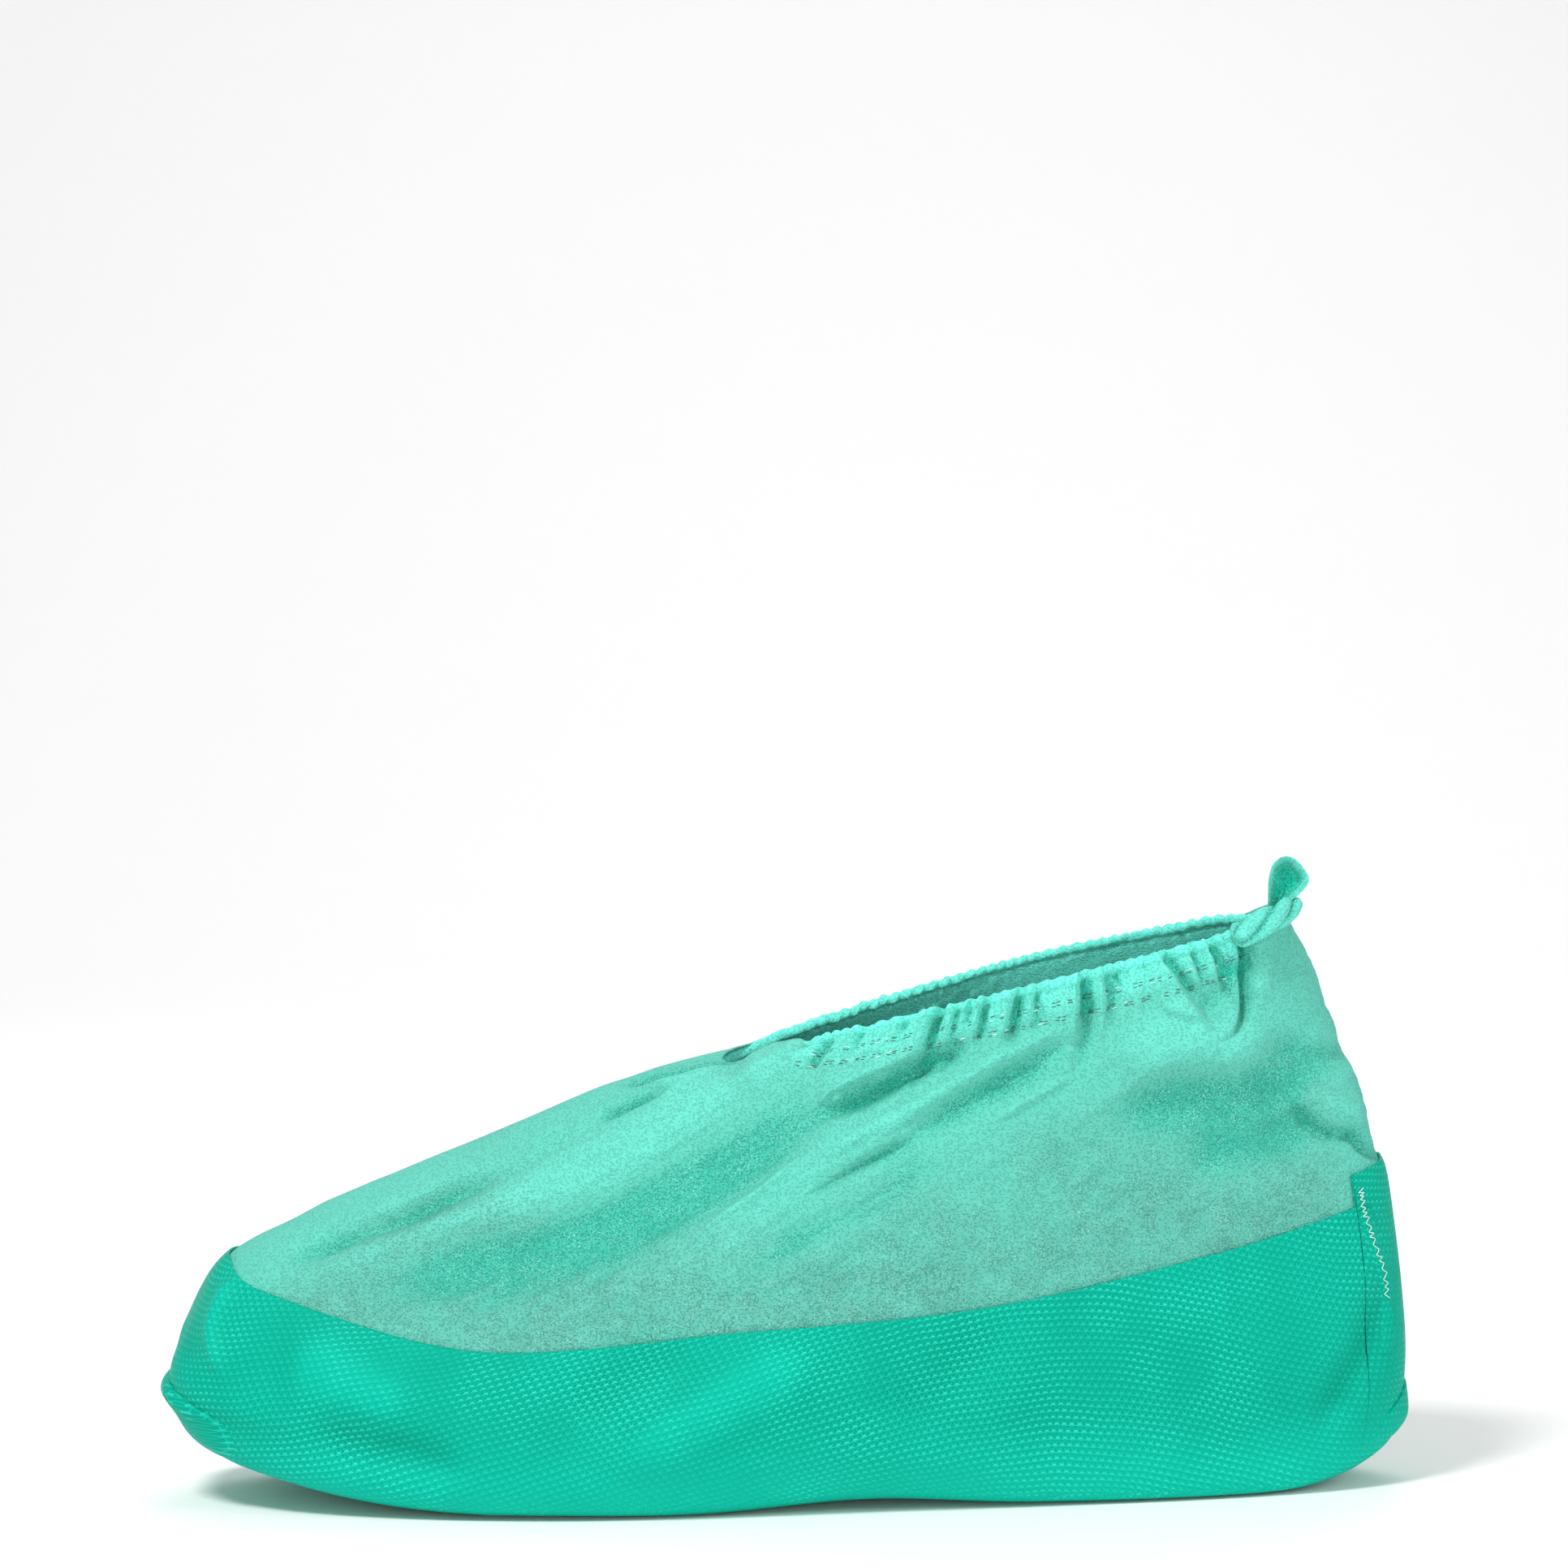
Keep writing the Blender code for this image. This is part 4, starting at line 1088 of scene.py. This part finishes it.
def flat_places(angles, level_rows):
    """Flat places of the film's face corners: along each level from the middle of its side, and up."""
    rows = np.stack([surface(angles, row) for row in level_rows])
    ahead = np.linalg.norm(np.roll(rows, -1, axis=1) - rows, axis=2)
    along = np.cumsum(ahead, axis=1) - ahead
    along -= along[:, np.searchsorted(angles, np.where(angles < math.pi, 0.5, 1.5) * math.pi)]
    climbs = np.linalg.norm(np.diff(rows, axis=0, prepend=rows[:1]), axis=2)
    up = np.cumsum(climbs, axis=0)
    near = np.stack([along, up], axis=2)
    far = np.stack([along + ahead, np.roll(up, -1, axis=1)], axis=2)
    return np.stack([near[:-1], far[:-1], far[1:], near[1:]], axis=2)


def build_film(material):
    """The film tray: tread, rounded edge and side walls up to the film's top edge."""
    angles = column_angles(FILM_COLUMNS)
    edge = film_edge_level(angles)
    under = list(np.linspace(0, FEATHER, UNDER_ROWS, endpoint=False))
    rows = under + [FEATHER + (edge - FEATHER) * s for s in np.linspace(0, 1, FILM_ROWS)]
    inner_rows = inside_rows(rows)
    outer, outer_height = grid_points(angles, rows, 0.0)
    inner, inner_height = grid_points(angles, inner_rows, -FILM_WALL)
    points = np.concatenate([outer, inner])
    count = len(angles)
    faces = grid_faces(len(points), count, False, True)
    places = flat_places(angles, rows + inner_rows)
    flat = points.reshape(-1, 3)
    sole = np.array(faces[:len(under) * count])
    places[:len(under)] = flat[sole, :2].reshape(len(under), count, 4, 2)
    corners = list(places.reshape(-1, 2))
    for start, down in ((0, True), ((len(points) - 1) * count, False)):
        caps = rungs(start, count, down)
        faces += caps
        corners += [flat[i, :2] for face in caps for i in face]
    piece = finish_piece("film_tray", flat, faces, material, "sole_film")
    set_places(piece, corners)
    # Fold depth, which the film's material turns into painted shade in hollows and painted light on ridges
    set_number(piece, "hollow", np.clip(-np.concatenate([outer_height, inner_height]) / FILM_HOLLOW, -1, 1))
    return piece


def bead_scallop(angles):
    """Fine puckers along the hem's bead."""
    place = rim_place(angles)
    wave = np.cos(2 * math.pi * (place / BEAD_PITCH + sway(BEAD_SWAY, place)))
    return BEAD_SCALLOP * wave * (1 - HEM_CALM * hem_calm(angles))


def hem_outside(drop):
    """Distance of the hem's outer face from the cloth's middle. It thins out into the upper at its foot."""
    thin = THIN_SHARE * smooth_step(drop, THIN_FROM, HEM_WIDTH)
    drawn_in = DRAWN_IN * np.exp(-((drop - DRAWN_AT) / DRAWN_REACH) ** 2)
    return SLOT_HALF + CLOTH_WALL * (1 - thin) - drawn_in


def hem_profile():
    """The hem's section: drop below the rim and distance outside the cloth's middle. It runs from the outer
    foot up, over the bead and down inside, then back round the slot that holds the upper's edge."""
    faces = np.linspace(FACE_TOP, HEM_WIDTH, FACE_STEPS)
    slot_faces = np.linspace(SLOT_TOP, HEM_WIDTH, SLOT_STEPS)
    profile = [(drop, hem_outside(drop)) for drop in faces[::-1]]
    for turn in np.radians(np.linspace(*BEAD_ARC, BEAD_STEPS)):
        drop = BEAD_RADIUS * (1 - math.sin(turn))
        profile.append((drop, BEAD_RADIUS * math.cos(turn) * BEAD_WIDE))
    profile += [(drop, -SLOT_HALF - CLOTH_WALL) for drop in faces[::2]]
    profile += [(drop, -SLOT_HALF) for drop in slot_faces[::-1]]
    profile += [(drop, min(SLOT_HALF, hem_outside(drop) - FOOT_EDGE)) for drop in slot_faces]
    return profile


def build_hem(material):
    """The gathered hem, folded over the upper's edge."""
    angles = turns_round(HEM_COLUMNS)
    scallop = bead_scallop(angles)
    tuck = hem_tuck(angles)
    rows, hollow, double = [], [], []
    for drop, away in hem_profile():
        on_bead = 1 - smooth_step(drop, *BEAD_END)
        sunk = drop - scallop * on_bead + TUCK_DROP * tuck
        levels = level_below_rim(angles, sunk)
        away = CLOTH_MIDDLE + away + scallop * on_bead * np.sign(away) - TUCK_IN * tuck
        points, height = shaped(angles, levels, away)
        rows.append(points)
        hollow.append(np.clip(-height / HEM_HOLLOW, *HEM_HOLLOW_RANGE) * (1 - BEAD_PALE * on_bead))
        band = HEM_DOUBLE * (1 - smooth_step(drop, HEM_WIDTH / 2, HEM_WIDTH))
        double.append(np.full(HEM_COLUMNS, max(band, on_bead)))
    points = np.stack(rows)
    faces = grid_faces(len(rows), HEM_COLUMNS, True, True)
    piece = finish_piece("hem_band", points.reshape(-1, 3), faces, material, "collar_hem")
    set_number(piece, "hollow", np.concatenate(hollow))
    set_number(piece, "double", np.concatenate(double))
    return piece


def spindle(middle, along):
    """Points and faces of a small thread fleck, pointed at both ends."""
    ahead = unit(along)
    side = unit(np.cross(ahead, FLECK_ASIDE))
    up = np.cross(ahead, side)
    points = [middle - along / 2]
    for share, full in FLECK_RINGS:
        for turn in turns_round(FLECK_SIDES):
            out = math.cos(turn) * side + math.sin(turn) * up
            points.append(middle + along * share + FLECK_RADIUS * full * out)
    points.append(middle + along / 2)
    last = len(points) - 1
    faces = [tuple(i + 1 for i in face) for face in grid_faces(len(FLECK_RINGS), FLECK_SIDES, False, True)]
    for k in range(FLECK_SIDES):
        following = (k + 1) % FLECK_SIDES
        faces.append((0, 1 + following, 1 + k))
        faces.append((last, last - FLECK_SIDES + k, last - FLECK_SIDES + following))
    return points, faces


def join_flecks(name, flecks, material):
    """One piece from many thread flecks, given as middle and direction."""
    points, faces = [], []
    for middle, along in flecks:
        more, sides = spindle(middle, along)
        faces += [tuple(i + len(points) for i in face) for face in sides]
        points += more
    return finish_piece(name, np.array(points), faces, material)


def build_stitches(dark, white):
    """Two rows of thread dashes on the hem, each a few slanted dark and white flecks."""
    rng = np.random.default_rng(STITCH_SEED)
    dashes = np.arange(int(RIM_ARC[-1] / STITCH_PITCH))
    row, dash, fleck = (a.ravel() for a in np.meshgrid((0, 1), dashes, np.arange(FLECKS), indexing="ij"))
    loose = rng.uniform(-FLECK_JITTER, FLECK_JITTER, (2, row.size))
    place = (dash + ROW_STEP * row) * STITCH_PITCH + fleck // 2 * FLECK_PITCH + loose[0]
    drop = np.take(STITCH_ROWS, row) + fleck % 2 * FLECK_GAP + loose[1]
    slant = np.where((fleck + dash) % 2, 1, -1) * FLECK_SLANT
    ends = []
    for side in (-0.5, 0.5):
        angles = np.interp(np.mod(place + side * FLECK_RUN, RIM_ARC[-1]), RIM_ARC, ROUND)
        down = drop + side * slant
        ends.append(shaped(angles, level_below_rim(angles, down), CLOTH_MIDDLE + hem_outside(down))[0])
    along = ends[1] - ends[0]
    whole = (np.linalg.norm(along, axis=1) < 2 * FLECK_RUN) & (hem_tuck(angles) == 0)
    grey = (3 * dash + fleck) % WHITE_EVERY > 0
    for name, chosen, material in (("dark", grey & whole, dark), ("white", ~grey & whole, white)):
        flecks = zip((ends[0] + ends[1])[chosen] / 2, along[chosen])
        join_flecks("hem_stitches_" + name, flecks, material)


def seam_angle(levels):
    """Angle of the back seam at each level."""
    heights = [place.level for place in SEAM_LINE]
    return np.radians(smooth_through(heights, [place.degrees for place in SEAM_LINE], levels))


def reach_around(angles, levels):
    """Millimetres along the form for each radian around it."""
    step = 0.01
    around = surface(angles + step, levels) - surface(angles - step, levels)
    return np.linalg.norm(around, axis=1) / (2 * step)


def set_flat_from_points(piece):
    """Flat places for a small piece: the sum of x and y, and the height."""
    points = np.array([vertex.co for vertex in piece.data.vertices]) / MM
    corner = np.array([loop.vertex_index for loop in piece.data.loops])
    set_places(piece, np.stack([points[corner, 0] + points[corner, 1], points[corner, 2]], axis=1))


def film_pad(name, low, high, material, node):
    """A solid piece of film between two grids of points with the same rows and columns."""
    rows, count = low.shape[:2]
    ring = np.concatenate([high, low[:, ::-1]], axis=1)
    faces = grid_faces(rows, 2 * count, False, True)
    for start, flip in ((0, True), ((rows - 1) * 2 * count, False)):
        for c in range(count - 1):
            face = (start + c, start + c + 1, start + 2 * count - 2 - c, start + 2 * count - 1 - c)
            faces.append(face[::-1] if flip else face)
    piece = finish_piece(name, ring.reshape(-1, 3), faces, material, node)
    set_flat_from_points(piece)
    return piece


def build_seam_lap(material):
    """The raised lap of the film halves."""
    levels = np.linspace(SEAM_LINE[0].level, SEAM_LINE[-1].level, LAP_GRID[0])
    across = np.linspace(-1, 1, LAP_GRID[1])
    middle = seam_angle(levels)
    half = LAP_WIDTH / 2 / reach_around(middle, levels)
    angles = (middle[:, None] + across * half[:, None]).ravel()
    levels = np.repeat(levels, LAP_GRID[1])
    flat = 1 - np.tile(across, LAP_GRID[0]) ** LAP_FLAT
    pucker = LAP_PUCKER * np.sin(levels * PUCKER_TURNS[0]) * np.sin(levels * PUCKER_TURNS[1])
    low = shaped(angles, levels, -LAP_SINK)[0].reshape(*LAP_GRID, 3)
    high = shaped(angles, levels, (LAP_THICK + pucker) * flat - LAP_EDGE)[0].reshape(*LAP_GRID, 3)
    return film_pad("seam_lap", low, high, material, "back_seam")


def rings_along(path, radius, aside):
    """Rings of points round a path that never runs aside, with a row of radii for each ring."""
    ahead = unit(np.gradient(path, axis=0))
    side = unit(np.cross(ahead, aside))
    up = np.cross(ahead, side)
    turn = turns_round(radius.shape[1])
    sideways = (radius * np.cos(turn))[..., None] * side[:, None]
    return path[:, None] + sideways + (radius * np.sin(turn))[..., None] * up[:, None]


def build_zigzag(material):
    """The zigzag thread down the back seam."""
    both = np.array(ZIGZAG_LEVELS)
    ends = surface(seam_angle(both), both)
    zigzags = int(np.linalg.norm(ends[1] - ends[0]) / ZIGZAG_PITCH)
    at = np.linspace(0, 1, zigzags * ZIGZAG_POINTS)
    levels = both[1] + (both[0] - both[1]) * (at + sway(ZIGZAG_SLIP, at))
    swing = 2 * np.abs(2 * np.mod(at * zigzags, 1) - 1) - 1
    aside = ZIGZAG_REACH * (swing * (1 + sway(ZIGZAG_SWELL, at)) - ZIGZAG_ASIDE)
    middle = seam_angle(levels)
    angles = middle + aside / reach_around(middle, levels)
    over = LAP_THICK + THREAD_CLEAR + sway(ZIGZAG_LIFT, at)
    radius = np.full((len(at), THREAD_SIDES), THREAD_RADIUS)
    rings = rings_along(shaped(angles, levels, over)[0], radius, THREAD_ASIDE)
    finish_piece("seam_zigzag", rings.reshape(-1, 3), tube_faces(*radius.shape), material)


def build_tuck(tuck, material):
    """A folded corner of film that lies on the tray, pointed at both ends and fullest near its upper lip."""
    up = np.linspace(0, 1, TUCK_GRID[0])
    across = np.linspace(-1, 1, TUCK_GRID[1])
    narrow = 1 - TUCK_NARROW * np.abs(across) ** TUCK_POINT
    straight = tuck.foot + (tuck.head - tuck.foot) * up
    middle = tuck.foot + (tuck.head - tuck.foot) * TUCK_MIDDLE
    levels = (middle + (straight - middle)[:, None] * narrow).ravel()
    angles = np.broadcast_to(tuck.middle + tuck.reach * across, TUCK_GRID).ravel()
    rise = np.where(up < tuck.lip, up / tuck.lip, 1 - TUCK_FALL * (up - tuck.lip) / (1 - tuck.lip))
    body = np.outer(np.sin(rise * math.pi / 2), (1 - across ** 2) ** TUCK_ROUND)
    crumple = np.outer(sway(TUCK_CRUMPLES[0], up), sway(TUCK_CRUMPLES[1], across)) * body
    over = (tuck.thick * body + crumple - TUCK_SINK).ravel()
    low = shaped(angles, levels, -2 * TUCK_SINK)[0].reshape(*TUCK_GRID, 3)
    high = shaped(angles, levels, over)[0].reshape(*TUCK_GRID, 3)
    return film_pad(tuck.name, low, high, material, tuck.node)


def roll_radius(share):
    """Radius of the rolled hem without its lobes, thinner towards both ends."""
    return smooth_through(ROLL_STATIONS, ROLL_RADII, share)


def roll_path(share):
    """Middle line of the rolled hem: it climbs from beside the hem's bead to above it."""
    angles = ROLL_START + (ROLL_END - ROLL_START) * share
    levels = level_below_rim(angles, HEM_BEAD)
    bead = surface(angles, levels) - outward(angles, levels) * (FILM_WALL + GAP)
    level = unit(outward(angles, RIM) * (1, 1, 0))
    tilt = (ROLL_TILT[0] + (ROLL_TILT[1] - ROLL_TILT[0]) * share)[:, None]
    clear = (ROLL_BEAD + GAP + roll_radius(share) + ROLL_LOBE)[:, None]
    return bead + clear * (level * np.cos(tilt) + np.sin(tilt) * (0, 0, 1))


def build_roll(material):
    """The hem twisted into a rope-like roll."""
    rows, sides = ROLL_GRID
    share = np.linspace(0, 1, rows)[:, None]
    turn = turns_round(sides)
    twist = math.pi * ROLL_TURNS * share
    strand = np.abs(np.cos(ROLL_LOBES / 2 * turn + twist)) ** ROLL_STRAND
    around, twisted, along = ROLL_CRUMPLES
    crumple = ROLL_CRUMPLE * np.sin(twisted * twist - around * turn) * np.sin(along * share)
    end = np.clip(1 - (1 - np.abs(2 * share - 1)) / ROLL_ROUND, 0, ROLL_CAP)
    radius = roll_radius(share) + ROLL_LOBE * (STRAND_HEIGHT * strand - GROOVE_DEPTH) + crumple
    points = rings_along(roll_path(share[:, 0]), radius * np.sqrt(1 - end ** 2), (0, 0, 1))
    faces = tube_faces(rows, sides)
    piece = finish_piece("hem_roll", points.reshape(-1, 3), faces, material, "rear_hem_roll")
    # Painted shade in the roll's grooves and painted light on its strands
    set_number(piece, "hollow", (GROOVE_SHADE - STRAND_LIGHT * strand).ravel())
    set_number(piece, "double", np.full(strand.size, ROLL_DOUBLE))


def build_loop(material):
    """The cupped hood of spare hem that stands near the end of the roll, hollow towards the inner side. Its
    rim is thickest at the lower lip, where the roll runs out into it."""
    base = roll_path(np.array([LOOP_PLACE]))[0] + (0, 0, roll_radius(LOOP_PLACE) - LOOP_SINK)
    rings, columns = LOOP_GRID
    at = np.linspace(0, len(LOOP_EDGES), columns, endpoint=False)
    x, z, rim = (ring_through(values, at) for values in zip(*LOOP_EDGES))
    out = np.linspace(LOOP_START, 1, rings)[:, None]
    bulge = rim * np.sqrt(np.clip(1 - ((out - 1 + LOOP_RIM) / LOOP_RIM) ** 2, 0, 1))
    cup = LOOP_CUP * (1 - out ** 3) + LOOP_WAVE * np.sin(2 * at) * np.sin(math.pi * out)
    x = LOOP_MIDDLE[0] + (x - LOOP_MIDDLE[0]) * out
    z = LOOP_MIDDLE[1] + (z - LOOP_MIDDLE[1]) * out
    front = base + np.stack([x, cup - bulge, z], axis=2)
    back = base + np.stack([x, cup + LOOP_WALL + bulge, z], axis=2)
    points = np.concatenate([front, back[::-1]])
    faces = tube_faces(2 * rings, columns)
    piece = finish_piece("hem_loop", points.reshape(-1, 3), faces, material, "rear_hem_loop")
    # Painted shade inside the cup, by its depth
    deep = np.clip(LOOP_SHADE * cup / LOOP_CUP - bulge, *LOOP_HOLLOW_RANGE)
    set_number(piece, "hollow", np.concatenate([deep, LOOP_BACK * deep[::-1]]).ravel())
    set_number(piece, "double", np.full(2 * deep.size, LOOP_DOUBLE))


def sweep_points():
    """A pale floor that curves up into a wall behind the cover, as rows from front to back, in metres."""
    profile = [(-FLOOR_FRONT, 0.0), (FLOOR_BACK, 0.0)]
    for turn in np.linspace(0, math.pi / 2, SWEEP_STEPS)[1:]:
        profile.append((FLOOR_BACK + SWEEP_RADIUS * math.sin(turn), SWEEP_RADIUS * (1 - math.cos(turn))))
    profile.append((FLOOR_BACK + SWEEP_RADIUS, WALL_HEIGHT))
    return [(side * FLOOR_SIDE, y, z - FLOOR_DROP) for y, z in profile for side in (-1, 1)]


def build_stage():
    """The floor sweep and a white surround."""
    points = sweep_points()
    sweep = bpy.data.meshes.new("floor")
    sweep.from_pydata(points, [], [(i, i + 1, i + 3, i + 2) for i in range(0, len(points) - 2, 2)])
    sweep.polygons.foreach_set("use_smooth", np.ones(len(sweep.polygons), bool))
    sweep.materials.append(Graph("floor").set(Base_Color=FLOOR_WHITE, Roughness=0.9, Specular_IOR_Level=0.1))
    floor = bpy.data.objects.new("floor", sweep)
    bpy.context.scene.collection.objects.link(floor)
    world = bpy.data.worlds.new("studio")
    world.use_nodes = True
    background = world.node_tree.nodes["Background"]
    background.inputs["Color"].default_value = (1, 1, 1, 1)
    background.inputs["Strength"].default_value = WORLD_STRENGTH
    bpy.context.scene.world = world


Light = namedtuple("Light", "name place aim size watts")
LIGHTS = [
    Light("key", (-700, -900, 1700), (0, 0, 60), 500, 27),
    Light("front fill", (200, -1800, 180), (0, 0, 60), 900, 9.5),
    Light("right fill", (1500, -700, 900), (60, 0, 60), 900, 8),
    Light("low fill", (0, -1300, 60), (0, 0, 15), 700, 1.6),
    Light("back fill", (200, 1300, 1500), (0, 0, 200), 1200, 10),
]


def aim_at(thing, place, aim):
    """Put a light or camera at a place in millimetres and turn it to look at another."""
    thing.location = Vector(place) * MM
    thing.rotation_mode = "QUATERNION"
    thing.rotation_quaternion = (Vector(aim) - Vector(place)).to_track_quat("-Z", "Y")


def build_lights():
    """Large soft studio lights."""
    for light in LIGHTS:
        lamp = bpy.data.lights.new(light.name, "AREA")
        lamp.shape = "DISK"
        lamp.size = light.size * MM
        lamp.energy = light.watts
        thing = bpy.data.objects.new(light.name, lamp)
        bpy.context.scene.collection.objects.link(thing)
        aim_at(thing, light.place, light.aim)


def build_camera():
    """The camera at the photograph's angle, with its slight roll."""
    camera = bpy.data.cameras.new("camera")
    camera.sensor_width = SENSOR
    camera.lens = SENSOR * math.dist(CAMERA_PLACE, CAMERA_AIM) / PICTURE_WIDTH
    thing = bpy.data.objects.new("camera", camera)
    bpy.context.scene.collection.objects.link(thing)
    aim_at(thing, CAMERA_PLACE, CAMERA_AIM)
    turn = Matrix.Rotation(CAMERA_ROLL, 3, "Z").to_quaternion()
    thing.rotation_quaternion = thing.rotation_quaternion @ turn
    bpy.context.scene.camera = thing


def build_cover():
    """All pieces of the cover, each with its material."""
    film = film_material()
    cloth = cloth_material()
    hem = hem_material()
    dark = thread_material("thread_dark", THREAD_GREY)
    white = thread_material("thread_white", THREAD_WHITE)
    upper = build_upper(cloth)
    build_film(film)
    build_hem(hem)
    build_stitches(dark, white)
    build_seam_lap(film)
    build_zigzag(white)
    for tuck in TUCKS:
        build_tuck(tuck, film)
    build_roll(hem)
    build_loop(hem)


build_cover()
build_stage()
build_lights()
build_camera()
bpy.context.scene.view_settings.view_transform = "Standard"
